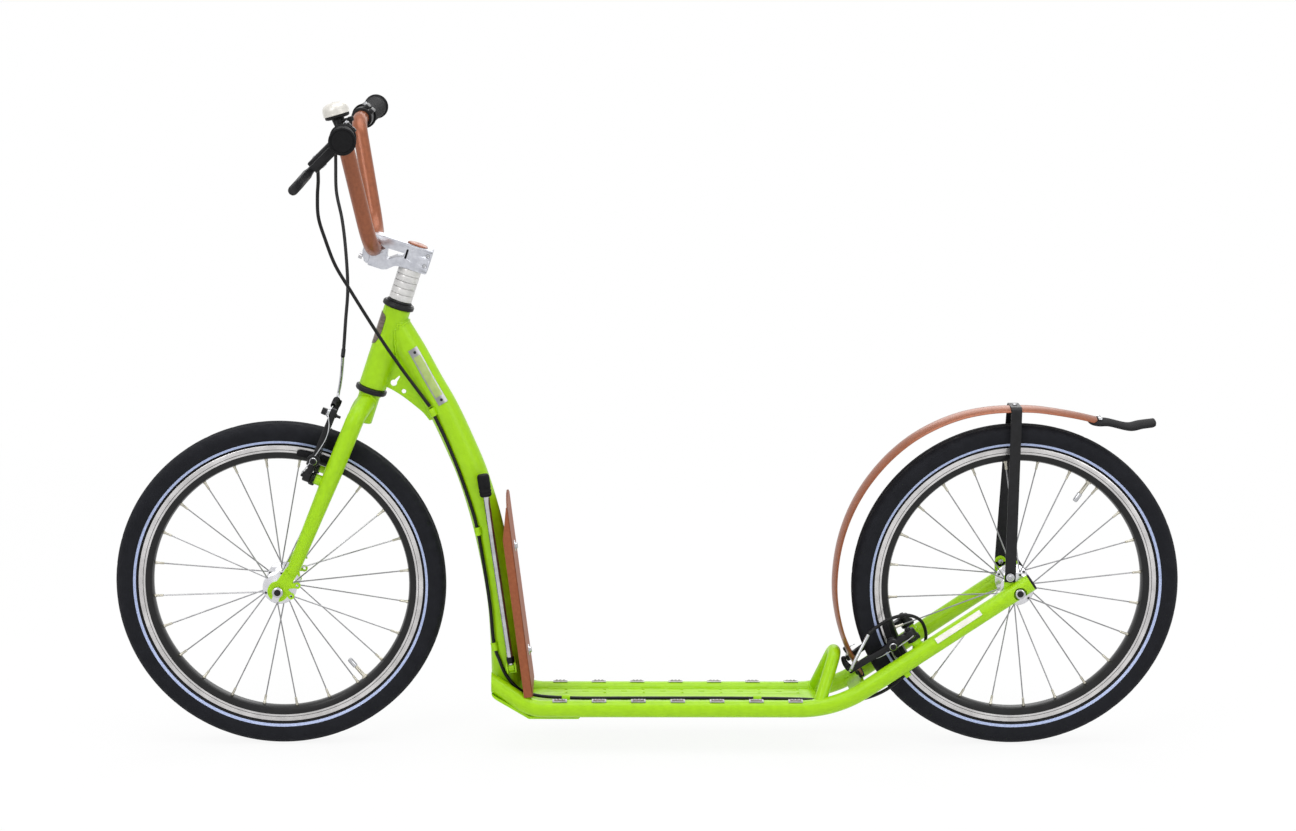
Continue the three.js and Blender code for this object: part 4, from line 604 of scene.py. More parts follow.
def wheel_point(centre, a, r, y):
    """A point of a wheel at an angle, a radius and a place along its axle."""
    return centre + vec(r * math.cos(a), y, r * math.sin(a))


def wheel_skin(centre, ring, steps, kinds, depth=None):
    """A closed section of (place along the axle, radius, kind) points turned about the axle."""
    rows = []
    for i in range(steps):
        row = [(y, r - (depth(y, r, i) if depth else 0)) for y, r, _ in ring]
        rows.append([wheel_point(centre, TURN * i / steps, r, y) for y, r in row])
    return Shape().grid(rows, loop=True, kinds=kinds)


def tread_depth(y, r, step):
    """How deep the tread is cut at one point of the tyre's section."""
    wide = abs(y)
    step += 0 if y > 0 else 3
    if 14.0 < wide < 19.8 and r > 232.5:
        return 1.5 if step % 6 < 2 else 0
    if 6.0 < wide <= 14.9 and r > 239:
        return 0.9 if (step + int(wide * 0.8)) % 12 == 0 else 0
    return 1.2 if 3.0 < wide < 5.0 else 0


def tyre(centre, name, body, node):
    half = [(9.2, 208.9, 1), (10.6, 209.9, 1), (12.0, 211.4, 1), (13.2, 212.7, 1), (14.2, 213.0, 1),
            (16.4, 216.7, 2), (17.1, 217.4, 0), (18.3, 220.2, 0), (19.2, 223.6, 0), (19.75, 227.2, 0),
            (19.9, 230.4, 0), (19.6, 233.4, 0), (18.9, 235.8, 0), (18.1, 237.2, 0), (16.8, 238.6, 0),
            (14.9, 240.0, 0), (12.6, 241.2, 0), (10.0, 242.0, 0), (7.0, 242.6, 0), (4.0, 242.9, 0),
            (1.2, 243.0, 0)]
    under = [(8.4, 208.7, 0), (0, 208.6, 0), (-8.4, 208.7, 0)]
    ring = [(-y, r, k) for y, r, k in half] + half[::-1] + under
    bands = [k for _, _, k in half[1:]]
    shape = wheel_skin(centre, ring, 432, [*bands, 0, *reversed(bands), 1, 1, 1, 1], tread_depth)
    shape.make(name, [TYRE, BEAD, STRIPE], body, node, crease=26)


def rim(centre, name, body, node):
    half = [(6.0, 188.5, 1), (9.6, 190.2, 1), (11.2, 193.6, 1), (11.9, 198.0, 1), (12.0, 199.4, 1),
            (12.0, 199.6, 0), (12.0, 202.3, 0), (11.6, 202.5, 1), (11.6, 202.9, 1), (12.0, 203.1, 0),
            (12.0, 208.6, 0), (11.7, 209.3, 0), (11.0, 209.5, 0), (10.2, 209.2, 0), (9.6, 208.4, 0)]
    inner = [(8.6, 205.5, 0), (6.5, 203.0, 0), (0, 202.0, 0)]
    ring = [(0, 187.9, 1)] + half + inner + [(-y, r, k) for y, r, k in reversed(half + inner[:2])]
    bands = [k for _, _, k in half[1:]]
    shape = wheel_skin(centre, ring, 240, [1, *bands, 0, 0, 0, 0, 0, 0, *reversed(bands), 1])
    shape.make(name, [TRACK, RIM_BLACK], body, node, crease=30)


SPOKES, FLANGE_R, FLANGE_Y, RIM_INSIDE = 24, 21.6, 27, 188.4


def hub(centre, name, body, node):
    """A turned hub with its crossed spokes and their nipples."""
    profile = [(5.4, -49.6), (8.4, -49.6), (9.4, -48.8), (9.4, -45.5), (8.6, -44.8), (8.6, -36),
               (10.4, -33.5), (20.5, -30.4), (24.2, -29.4), (25, -28.6), (25, -25.6), (24.2, -25.0),
               (20, -24.4), (14, -21), (11.4, -14), (10.6, 0)]
    nipple = [(0, 0), (1.25, 0), (1.75, 0.6), (1.85, 9.5), (2.6, 11.2), (2.6, 13.2), (0, 13.2)]
    profile += [(r, -h) for r, h in reversed(profile[:-1])]
    shape = Shape().lathe(profile + profile[:1], centre, Y_AXIS, 72)
    for i in range(SPOKES):
        side = 1 if i % 2 else -1
        crossing = -1 if i // 2 % 2 else 1
        outer = -1 if i // 4 % 2 else 1
        rim_a = deg(6) + TURN * i / SPOKES
        out, back, seat, head = (wheel_point(centre, rim_a + crossing * deg(16), FLANGE_R,
                                             side * (FLANGE_Y + outer * step))
                                 for step in (3.1, -2.6, -2.4, -3.6))
        tip = wheel_point(centre, rim_a, RIM_INSIDE - 0.2, side * 2)
        direction = unit(tip - out)
        shape.tube(bent([back, out, tip], [2.4], 6), 1.0, 10, kind=1)
        shape.rod(seat, head, 2.1, 14, 0.5, kind=1)
        shape.lathe(nipple, tip - direction * 13, direction, 12, kind=2)
    shape.make(name, [POLISHED, SPOKE, NICKEL], body, node)


def valve(centre, angle, name, body, node):
    out = vec(math.cos(deg(angle)), 0, math.sin(deg(angle)))
    base = centre + out * RIM_INSIDE
    thread = [(3.0 - 0.25 * (k % 2), 3.2 + k * 0.55) for k in range(1, 34)]
    stem = [(0, -1), (5.2, -1), (5.2, 0.8), (4.6, 2.2), (3.2, 2.4), (3.0, 3.2), *thread, (2.6, 22),
            (2.6, 24)]
    cap = [(2.6, 21.5), (3.75, 21.6), (3.9, 22.2), (3.9, 33), (3.3, 35.6), (1.6, 36.4), (0, 36.4)]
    shape = Shape().lathe(stem, base, -out, 28).lathe(cap, base, -out, 20, kind=1)
    shape.make(name, [NICKEL, BRIGHT], body, node)


for side, centre, valve_angle in (("front", AXLE_F, -50), ("rear", AXLE_B, 56)):
    wheel = side + "_wheel"
    tyre(centre, side + "_tyre_tread", wheel, side + "_tyre")
    rim(centre, side + "_rim_section", wheel, side + "_rim")
    hub(centre, side + "_hub_spokes", wheel, side + "_hub_and_spokes")
    valve(centre, valve_angle, side + "_valve_stem", wheel, side + "_valve")

# Head tube, cups and main tube

HEAD_R, HEAD_BORE = 19.5, 16.4
low, high, edge = 4.5, 126.9, 0.5
shell = Shape().lathe([(HEAD_BORE, low), (HEAD_R - edge, low), (HEAD_R, low + edge), (HEAD_R, high - edge),
                       (HEAD_R - edge, high), (HEAD_BORE, high), (HEAD_BORE, low)], HEAD, UP, 96)
shell.make("head_tube_shell", LIME, "frame", "head_tube")
CUP_H = 8.4
cup = [(15.2, 0), (20.2, 0), (22.4, 0.7), (23.2, 1.8), (23.2, CUP_H - 2.6), (22.9, CUP_H - 1.9),
       (22.0, CUP_H - 1.5), (21.8, CUP_H - 0.4), (21.2, CUP_H), (15.2, CUP_H), (15.2, 0)]
lower_cup = Shape().lathe([(r, CUP_H - h) for r, h in reversed(cup)], HEAD - UP * 4.2, UP, 96)
lower_cup.make("lower_headset_cup", SATIN, "frame", "lower_cup")
Shape().lathe(cup, HEAD + UP * 127.2, UP, 96).make("upper_headset_cup", SATIN, "frame", "upper_cup")

MAIN_TOP, MAIN_FOOT = steer(0, 0, 0.852 * HEAD_L), vec(-210.8, 0, RAIL_Z - SIDE_R)
MAIN_SHARES = ((0, 0), (0.159, 0.0744), (0.3086, 0.1532), (0.4413, 0.2199), (0.6007, 0.3186),
               (0.6987, 0.3874), (0.8302, 0.5156), (0.9531, 0.7006), (0.989, 0.8361), (1, 1))
MAIN_W, MAIN_D = 42.0, 44.5
main_line = even(smooth_through([lerp(MAIN_TOP, MAIN_FOOT, vec(a, 0, b)) for a, b in MAIN_SHARES], 16), 130)
main_dir = np.gradient(main_line, axis=0)
main_dir /= np.linalg.norm(main_dir, axis=1)[:, None]


def on_main(f, a, grow=0.0):
    """A point off the main tube's oval skin, slimmer near the head tube: f along its steps, a around it."""
    i = int(f)
    p = lerp(main_line[i], main_line[min(i + 1, len(main_line) - 1)], f - i)
    slim = lerp(0.9, 1.0, min(1, f / 26))
    across, down = MAIN_W / 2 * slim + grow, MAIN_D / 2 + grow
    return p + Y_AXIS * math.cos(a) * across + np.cross(Y_AXIS, main_dir[i]) * math.sin(a) * down


def main_at(z):
    """The step of the main tube's line nearest to a height."""
    return int(np.argmin(np.abs(main_line[:, 2] - z)))


NOSE_X, NOSE_SLOPE, NOSE_R = 173.0, deg(31), 14.0
FRONT_X = MAIN_FOOT[0] - MAIN_D / 2
SKID_T = 3.0
slant_t = SKID_T / math.cos(NOSE_SLOPE)


def under_z(x):
    """Height of the nose's slanted underside."""
    return RAIL_Z - SIDE_R / math.cos(NOSE_SLOPE) + (-NOSE_X - x) * math.tan(NOSE_SLOPE)


skid_top = RAIL_Z - SIDE_R - GAP
knee_x = -NOSE_X - (skid_top - under_z(-NOSE_X) + GAP) / math.tan(NOSE_SLOPE)
below = Shape().plate([(-400, under_z(-400)), (knee_x, skid_top + GAP), (0, skid_top + GAP), (0, -200),
                       (-400, -200)],
                      300, ORIGIN)
corner_z = under_z(FRONT_X) - slant_t
lean = math.pi / 2 - NOSE_SLOPE
reach = NOSE_R * math.tan(lean / 2)
nose_arc = [(FRONT_X + NOSE_R * (1 - math.cos(a)), corner_z + reach - NOSE_R * math.sin(a))
            for a in np.linspace(0, lean, 14)]
last_x, last_z = nose_arc[-1]
nose_out = [(last_x - 12 * math.sin(NOSE_SLOPE), last_z - 12 * math.cos(NOSE_SLOPE)),
            (FRONT_X - 16, corner_z - 16), (FRONT_X - 16, corner_z + reach)]
nose_cut = Shape().plate(nose_arc + nose_out, 200, ORIGIN)
rings = [[on_main(i, a) for a in np.linspace(0, TURN, 72, endpoint=False)] for i in range(len(main_line))]
main = skin(rings)
main.cut(below, nose_cut, soft=1.6)
main.weld(seam(rings[:40], HEAD, UP, HEAD_R + 0.2), 1.5, loop=True)

GUARD_LEAN, GUARD_LOW, GUARD_HIGH = deg(7.35), 84, 382
GUARD_FOOT = vec(-171.3, 0, GUARD_LOW)
GUARD_BOLTS = (141, 300)


def guard_x(z):
    return GUARD_FOOT[0] - (z - GUARD_LOW) * math.tan(GUARD_LEAN)


for z in GUARD_BOLTS:
    x = main_line[main_at(z)][0]
    main.rod(vec(x, 0, z), vec(guard_x(z) - 2.0, 0, z), 7, 32, 0.8)
    main.lathe([(7.0, 1.5), (8.6, 0.4), (9.4, -1.2), (7.0, -2)], vec(x + MAIN_D / 2, 0, z), X_AXIS, 32,
               closed=True)
main.make("main_tube_skin", LIME, "frame", "main_tube")

# Side tubes and their plugs

STAY_RISE = 3.9
stay_foot = AXLE_B + STAY_UP * STAY_RISE
stay_end = stay_foot + STAY * 22
bend_x = stay_end[0] - (stay_end[2] - RAIL_Z) / math.tan(STAY_SLOPE)
NOSE_RUN = 62
nose_end = vec(-NOSE_X - NOSE_RUN, MAIN_W / 2 + SIDE_R + GAP, RAIL_Z + NOSE_RUN * math.tan(NOSE_SLOPE))
rail_start = vec(-NOSE_X, RAIL_Y, RAIL_Z)
side_line = [lerp(nose_end, rail_start, -0.4), rail_start, vec(bend_x, RAIL_Y, RAIL_Z),
             stay_end + Y_AXIS * STAY_Y]
side_path = bent(side_line, [60, 170], 26)
side_path = np.vstack([side_path[:28], even(side_path[27:30], 24)[1:-1], side_path[29:]])
side = Shape().tube(side_path, SIDE_R, 48)
side.cut(Shape().box((120, 200, 300), vec(FRONT_X - 60, 0, 60), edge=0), below, nose_cut, soft=1.2)
pocket = Shape().rod(AXLE_B + Y_AXIS * 54, AXLE_B + Y_AXIS * 110, 10.2, 48)
notch = Shape().rod(AXLE_B, AXLE_B + Y_AXIS * 50, 17, 48)
slot_way = Shape().box((10.2, 130, 34), AXLE_B - STAY_UP * 17, x=STAY, z=STAY_UP, edge=0)
bore = Shape().rod(AXLE_B, AXLE_B + Y_AXIS * 120, 5.1, 32)
side.cut(pocket, notch, slot_way, bore, soft=0.7)
TAB = AXLE_B + vec(-14.4, 0, 23)
side.box((16.8, 3, 24), TAB + vec(0, 48.5, -12), edge=0.5)
side.rod(TAB + Y_AXIS * 47, TAB + Y_AXIS * 50, 8.4, 40, 0.5)
STUD_Y, BOSS_R, REAR_BOSS, FRONT_BOSS = 41, 7.8, 26, 27
REAR_STUD = AXLE_B - STAY * 167.5 + STAY_UP * STAY_RISE + Y_AXIS * STUD_Y
side.rod(REAR_STUD - STAY_UP * 2, REAR_STUD + STAY_UP * REAR_BOSS, BOSS_R, 40, 0.8)
side.rod(REAR_STUD + Y_AXIS * 6.5, REAR_STUD, BOSS_R, 32)
side.weld(ring_of(REAR_STUD + STAY_UP * 10.6, STAY, Y_AXIS, 8.2), 1.3, loop=True)
make_both((side, "{}_rail_and_stay", LIME, "frame", "{}_side_tube"))


def brake_studs(name, root, out, body):
    """The steel studs on the ends of a pair of bosses."""
    stud = Shape().rod(root - out, root + out * 14.6, 4, 28, 0.6)
    stud.add(stud.mirror()).make(name, BRIGHT, body)


brake_studs("rear_brake_studs", REAR_STUD + STAY_UP * REAR_BOSS, STAY_UP, "frame")
plug = [(0, -3), (10.8, -3), (10.8, 0.2), (12.7, 0.3), (12.7, 2.2), (12.2, 2.9), (11.2, 3.2), (0, 3.4)]
plug = Shape().lathe(plug, side_line[-1], side_line[-1] - side_line[-2], 48)
make_both((plug, "{}_stay_plug", PLASTIC, "frame", "{}_end_plug"))

# Skid plate, gusset, deck, hoop and bridge

SKID_END, SKID_Y, lap = -101, 48.6, 0.6
skid = Shape().plate([(FRONT_X, under_z(FRONT_X) + lap), (knee_x, skid_top + lap),
                      (SKID_END, skid_top + lap), (SKID_END - SKID_T, skid_top - SKID_T),
                      (knee_x - SKID_T * math.tan(NOSE_SLOPE / 2), skid_top - SKID_T),
                      (FRONT_X, under_z(FRONT_X) - GAP - slant_t)], 99, ORIGIN)
skid.cut(nose_cut)
for s, _ in HANDS:
    skid.weld([vec(x, s * SKID_Y, under_z(x) - 0.4) for x in np.linspace(FRONT_X + 12, knee_x, 24)], 1.6)
    skid.weld([vec(x, s * SKID_Y, skid_top - 0.2) for x in np.linspace(knee_x, SKID_END - 5, 24)], 1.6)
skid.make("skid_shell", LIME, "frame", "skid_plate")

GUSSET_SHARES = ((0, 0.06), (0.1874, 0.0335), (0.2394, 0.013), (0.3884, -0.069), (0.5595, -0.19),
                 (0.6767, -0.283), (0.7575, -0.375), (0.8652, -0.35), (0.8882, -0.214), (0.7056, 0.1),
                 (0.3912, 0.614), (0.1442, 0.6))
span = main_line[main_at(HEAD[2] - 0.36 * HEAD_L)][0] - HEAD[0]


def on_gusset(a, b):
    return HEAD[0] + a * span, HEAD[2] + b * HEAD_L


outline = [on_gusset(*pair) for pair in GUSSET_SHARES]
edge_line = smooth_through([vec(x, z, 0) for x, z in outline[1:7]], 8)
outline[1:7] = [(x, z) for x, z, _ in edge_line]
hx, hz = on_gusset(0.2942, 0.079)
key = [(hx + 4.7 * math.cos(a), hz + 4.7 * math.sin(a)) for a in np.linspace(deg(75), deg(375), 26)]
key += [(hx + 9.6, hz + 9.4), (hx + 8.0, hz + 10.6)]
gusset = Shape().plate(outline, 4, ORIGIN, holes=[key, circle(*on_gusset(0.4258, -0.022), 3.3)], edge=0.5)
for s, _ in HANDS:
    gusset.weld([steer(19.0, 2.6 * s, h) for h in np.linspace(6, 62, 12)], 1.5)
gusset.make("gusset_web", LIME, "frame", "head_gusset")

DECK_TOP, DECK_HALF, DECK_PITCH, DECK_ROWS = 70.2, 37.05, 58.1, 7
holes = []
for i in range(DECK_ROWS):
    x = -123 + i * DECK_PITCH
    for s in (-1, 1):
        holes += [circle(x, s * share * DECK_HALF, 2.1, 20) for share in (0.38, 0.84)]
        if i < DECK_ROWS - 1:
            middle, y = x + DECK_PITCH / 2, s * 0.62 * DECK_HALF
            holes.append([(middle + end * 3.4 + 1.5 * math.cos(a), y + 1.5 * math.sin(a))
                          for end, start in ((-1, 90), (1, -90))
                          for a in np.linspace(deg(start), deg(start + 180), 8)])
edge_line = [(-198.4, 17.6), (-185.7, 28.2), (-160.3, DECK_HALF), (252, DECK_HALF)]
deck = Shape().plate(edge_line + [(x, -y) for x, y in reversed(edge_line)], 2, Z_AXIS * (DECK_TOP - 1),
                     y=Y_AXIS, holes=holes, edge=0.4)
for s, _ in HANDS:
    for a, b in ((-150, -90), (-60, -10), (20, 70), (100, 150), (180, 240)):
        deck.weld([vec(x, s * (DECK_HALF + 0.4), DECK_TOP + 0.1) for x in np.linspace(a, b, 14)], 1.3)
deck.make("deck_sheet", LIME, "frame", "deck_plate")

HOOP_X, HOOP_R = 250, 9.5
hoop_top = vec(286, 0, RAIL_Z + 100)
hoop_line = bent([vec(HOOP_X, -RAIL_Y, RAIL_Z), hoop_top, vec(HOOP_X, RAIL_Y, RAIL_Z)], [19.5], 30)
hoop_line = np.vstack([even(hoop_line[:2], 30), hoop_line[2:-2], even(hoop_line[-2:], 30)])
hoop = Shape().tube(hoop_line, HOOP_R, 40)
for s, _ in HANDS:
    foot = vec(HOOP_X, s * RAIL_Y, RAIL_Z)
    up_leg = unit(hoop_top - foot)
    side_a = unit(np.cross(up_leg, X_AXIS))
    side_b = np.cross(up_leg, side_a)
    rings = [ring_of(foot + up_leg * t, side_a, side_b, HOOP_R + 0.4, 48) for t in np.linspace(0, 26, 80)]
    hoop.weld(seam(rings, foot, X_AXIS, SIDE_R + 0.2), 1.7, loop=True)
hoop.make("hoop_tube", LIME, "frame", "rear_hoop")

bridge_at = AXLE_B - STAY * 278 + STAY_UP * 6.9
bridge = Shape().box((26, 2 * (RAIL_Y - 11.6), 4), bridge_at, x=STAY, z=STAY_UP, edge=0.7)
for s, _ in HANDS:
    for face in (1, -1):
        c = bridge_at + Y_AXIS * s * (RAIL_Y - 12.6) + STAY_UP * 2.2 * face
        bridge.weld([c - STAY * 12, c + STAY * 12], 1.5)
bridge.make("bridge_plate", LIME, "frame", "stay_bridge")

# Fork

BLADE_END, BLADE_TOP = steer(-26.6, 51, -288.9), steer(-9.2, 43, -58)
BLADE = unit(BLADE_TOP - BLADE_END)
STUD_OUT = unit(np.cross(BLADE, Y_AXIS))
ARM_UP = np.cross(Y_AXIS, STUD_OUT)
boss_root = BLADE_END + BLADE * 144
FRONT_STUD = vec(boss_root[0], STUD_Y, boss_root[2])
leg_line = even(bent([BLADE_END, BLADE_TOP + BLADE * 20.15, steer(0, 11, -16.2)], [18.7], 20), 110)
leg_r = np.interp(run_along(leg_line), [0, 1, 3, 6, 162, 400], [5.5, 7.4, 8.8, 9.4, 13, 13])
leg = Shape().tube(leg_line, leg_r, 48)
rings = [leg.points[i:i + 48] for i in range(0, len(leg.points), 48)]
CROWN_R = 15.6
leg.weld(seam(rings[::-1], HEAD, UP, CROWN_R + GAP), 1.7, loop=True)
leg.rod(FRONT_STUD - STUD_OUT * 3, FRONT_STUD + STUD_OUT * FRONT_BOSS, BOSS_R, 40, 0.8)
leg.rod(boss_root, FRONT_STUD, 6.4, 32)
leg.weld(ring_of(FRONT_STUD + STUD_OUT * 8.6, BLADE, Y_AXIS, 8.3, 48), 1.2, loop=True)


def across_fork(x, z, y_from, y_to, r, sides, edge=0.0):
    """A round bar across the right drop-out, at a place given from the axle."""
    return Shape().rod(steer(RAKE_X + x, y_from, RAKE_Z + z), steer(RAKE_X + x, y_to, RAKE_Z + z), r, sides,
                       edge)


EYES = ((24.05, 17.2), (20.3, -0.75))
DROP_Y = 52.2
flat = across_fork(0, 0, 50, 54.4, 15.4, 56, 0.5)
tongue = Shape().plate([(RAKE_X - 10.8, RAKE_Z), (RAKE_X + 12.3, RAKE_Z), (-17.2, -279.5), (-36, -279.5)],
                       4.4, steer(0, DROP_Y, 0), BACK, UP, edge=0.5)
ears = []
for x, z in EYES:
    web = [(0, 3), (x, z - 4), (x, z + 4), (0, 13.8)]
    ears += [across_fork(x, z, 50, 54.4, 4.8, 32, 0.5),
             Shape().plate(web, 4.2, steer(RAKE_X, DROP_Y, RAKE_Z), BACK, UP, edge=0.4)]
flat.cut(tongue, *ears, mode="UNION")
flat.cut(across_fork(0, 0, 40, 60, 5.1, 32),
         Shape().box((10.2, 30, 34), steer(RAKE_X, 52, RAKE_Z - 17), x=BACK, z=UP, edge=0),
         *[across_fork(x, z, 40, 60, 2.2, 20) for x, z in EYES])
leg.add(flat)
toe = ((-37.6, -290), (-36.5, -283.5), (-31, -280), (-24, -279), (-18, -281.5), (-15, -287))
leg.weld([steer(x, 54.2, z) for x, z in toe], 1.4)
fork = Shape().add(leg).add(leg.mirror())
fork.lathe([(0, -48.9), (CROWN_R - 1, -48.9), (CROWN_R, -48), (CROWN_R, -9), (17.2, -6.6), (17.2, -4.6),
            (14.3, -4.5), (14.3, 222.6), (0, 222.6)], HEAD, UP, 64)
fork.make("fork_blades", LIME, "steering", "fork")
brake_studs("front_brake_studs", FRONT_STUD + STUD_OUT * FRONT_BOSS, STUD_OUT, "steering")

# Headset race, spacer rings, stem, faceplate and cap

RACE_FROM, SPACER_FROM, SPACER_T, STEM_FROM, STEM_TO = 135.9, 139.2, 9.7, 188.0, 223.0
race = [(14.7, RACE_FROM), (18.3, RACE_FROM), (18.3, 137.6), (17.2, 138.7), (14.7, 138.9),
        (14.7, RACE_FROM)]
Shape().lathe(race, HEAD, UP, 72).make("headset_race_ring", SATIN, "steering", "upper_race")
stack = Shape()
spacer = [(14.7, 0.1), (16.1, 0.1), (16.8, 0.5), (17.0, 1.2), (17.0, SPACER_T - 1.2),
          (16.8, SPACER_T - 0.5), (16.1, SPACER_T - 0.1), (14.7, SPACER_T - 0.1), (14.7, 0.1)]
for i in range(5):
    stack.lathe(spacer, HEAD + UP * (SPACER_FROM + i * SPACER_T), UP, 72)
stack.make("spacer_rings", CREAM, "steering", "spacer_stack")

REACH, CHIN, STEM_H, STEM_W, BAR_Z, BAR_R = 58.0, STEM_FROM - 12.4, STEM_TO - STEM_FROM, 35, 202.3, 11.1
SPLIT_X = -REACH - 2.4
stem_line = soft_corners([(24.5, STEM_FROM), (24.5, STEM_TO), (-0.86 * REACH, STEM_TO),
                          (SPLIT_X, STEM_TO - 1.4), (SPLIT_X, CHIN), (-0.66 * REACH, CHIN),
                          (-0.54 * REACH, CHIN + 2.5), (-0.4 * REACH, STEM_FROM - 2.1),
                          (-0.27 * REACH, STEM_FROM)],
                         [2.6, 2.6, 3, 0.6, 2.4, 6, 7, 8, 5])
WINDOW_SHARES = ((-0.69, 0.56), (-0.25, 0.58), (-0.25, 0.4), (-0.41, 0.34), (-0.63, 0.06))
window = soft_corners([(a * REACH, STEM_FROM + b * STEM_H) for a, b in WINDOW_SHARES],
                      [2.4, 1.4, 2, 6, 2.4])
stem = Shape().plate(stem_line, STEM_W, HEAD, BACK, UP, holes=[window], steps=4)
bar_bore = Shape().rod(steer(-REACH, -60, BAR_Z), steer(-REACH, 60, BAR_Z), BAR_R + GAP, 64)
steerer_bore = Shape().rod(steer(0, 0, STEM_FROM - 9), steer(0, 0, STEM_TO + 9), 14.6, 64)
clamp_slit = Shape().box((20, 3, 60), steer(24, 0, STEM_FROM + 17), x=BACK, z=UP, edge=0)
PINCH = ((19, 214.6), (18.4, 199.2))
PORT_X, PORT_Z = -11.3, STEM_FROM + 0.575 * STEM_H
port = [Shape().box((3.2, 8, 14.4), steer(PORT_X, 17.5 * s, PORT_Z), x=BACK, z=UP, edge=1.2)
        for s, _ in HANDS]
holes = [Shape().rod(steer(x, 12.8 * s, z), steer(x, 30 * s, z), 3.1, 32) for s, _ in HANDS
         for x, z in PINCH]
stem.cut(bar_bore, steerer_bore, clamp_slit, *port, *holes, soft=1.2)
stem.make("stem_body", ALLOY, "steering", "stem")
socket = Shape()
for s, _ in HANDS:
    for x, z in PINCH:
        socket.lathe([(0, 13.4), (1.5, 13.4), (1.5, 16.6), (2.5, 16.9), (3.0, 16.5), (3.0, 12.6),
                      (0, 12.6)],
                     steer(x, 0, z), Y_AXIS * s, 24)
    socket.box((2.4, 1, 13.2), steer(PORT_X, 14.3 * s, PORT_Z), x=BACK, z=UP, edge=0.3, kind=1)
socket.make("stem_pinch_bolts", [BRIGHT, PLASTIC], "steering")

FACE_X, FACE_FROM = -REACH - 15, SPLIT_X - GAP
MID_X = (FACE_X + FACE_FROM) / 2
face_line = soft_corners([(FACE_FROM, STEM_TO - 2.8), (FACE_FROM, CHIN + 1.2), (MID_X, CHIN + 3.7),
                          (FACE_X, STEM_FROM + 4.9), (FACE_X, STEM_TO - 11.9), (MID_X, STEM_TO - 4.2)],
                         [1, 1, 3, 4, 4, 3])
face = Shape().plate(face_line, STEM_W, HEAD, BACK, UP, steps=4)
FACE_BOLTS = [(y, z) for y in (-11.5, 11.5) for z in (STEM_TO - 8.2, CHIN + 7.5)]
seats = [Shape().rod(steer(FACE_X - 12, y, z), steer(FACE_X + 2.2, y, z), 3.7, 28) for y, z in FACE_BOLTS]
face.cut(bar_bore, *seats, soft=1.2)
face.make("stem_face", ALLOY, "steering", "stem_faceplate")
bolts = Shape()
for y, z in FACE_BOLTS:
    bolts.lathe([(0, -1.5), (1.5, -1.5), (1.5, -3.1), (2.6, -3.3), (3.2, -2.7), (3.2, 2.2), (0, 2.2)],
                steer(FACE_X, y, z), BACK, 24)
bolts.make("stem_face_bolts", BRIGHT, "steering")
cap = Shape().lathe([(0, 1.5), (1.9, 1.5), (1.9, 2.9), (3.6, 3.3), (9.2, 3.1), (13.6, 2.1), (15.0, 1.2),
                     (15.3, 0.3), (0, 0.3)], HEAD + UP * STEM_TO, UP, 72, kinds=[1, 1, 0, 0, 0, 0, 0, 0])
cap.make("stem_top_cap", [COPPER, BRIGHT], "steering", "top_cap")

# Handlebar and grips

KNEE_Y, GRIP_Y = 127, 180
KNEE = steer(-142.3, KNEE_Y, 354.1)
END = unit(BACK * 10.7 + UP * 11.5 + Y_AXIS * 174)
MIRROR = vec(1, -1, 1)


def on_bar(y):
    """The middle of the straight right end of the bar, at a place across the bike."""
    return KNEE + END * (y - KNEE_Y) / END[1]


BAR_END = on_bar(GRIP_Y) + END * 117
elbow = steer(-REACH, 66, BAR_Z)
bar_line = bent([BAR_END * MIRROR, KNEE * MIRROR, elbow * MIRROR, elbow, KNEE, BAR_END], [34, 66, 66, 34],
                30)
Shape().tube(bar_line, BAR_R, 56).make("bar_tube", COPPER, "steering", "handlebar")

grip = [(11.2, 0), (17.4, 0), (18.3, 0.7), (18.5, 1.6), (18.5, 2.8), (18.0, 3.7), (16.8, 4.3)]
for i in range(36):
    h = 5.6 + i * 3.0
    grip += [(16.25, h), (16.25, h + 1.9), (15.7, h + 2.2), (15.7, h + 2.7)]
grip += [(16.4, 114.2), (17.6, 115.4), (18.6, 117.2), (18.7, 119.2), (18.2, 120.4), (17.2, 121.0),
         (15.9, 121.0), (15.3, 120.3), (14.6, 120.3), (14.0, 120.9), (9.0, 121.0), (0, 121.0)]
grip = Shape().lathe(grip, on_bar(GRIP_Y), END, 72)
make_both((grip, "{}_grip_sleeve", GRIP, "steering", "{}_grip"))

# Brake levers and their perches


def clamp_ring(half, r):
    """Section of a clamp round the bar, by half its width and its outside."""
    edge, bore = 0.8, 11.3
    return [(bore, -half), (r - edge, -half), (r, edge - half), (r, half - edge), (r - edge, half),
            (bore, half), (bore, -half)]


PERCH_HALF = 12
PERCH = on_bar(GRIP_Y - GAP - PERCH_HALF)
PERCH_TURN = deg(45)
perch_front, perch_down = unit(END * END[0] - X_AXIS), unit(END * END[2] - Z_AXIS)
P_OUT = unit(perch_front * math.cos(PERCH_TURN) + perch_down * math.sin(PERCH_TURN))
P_SIDE = unit(np.cross(END, P_OUT))
PIVOT_OUT, LEVER_L, CABLE_OUT = 46.0, 108.0, 50.84


def at_perch(out, y, s=0.0):
    return PERCH + P_OUT * out + END * y + P_SIDE * s


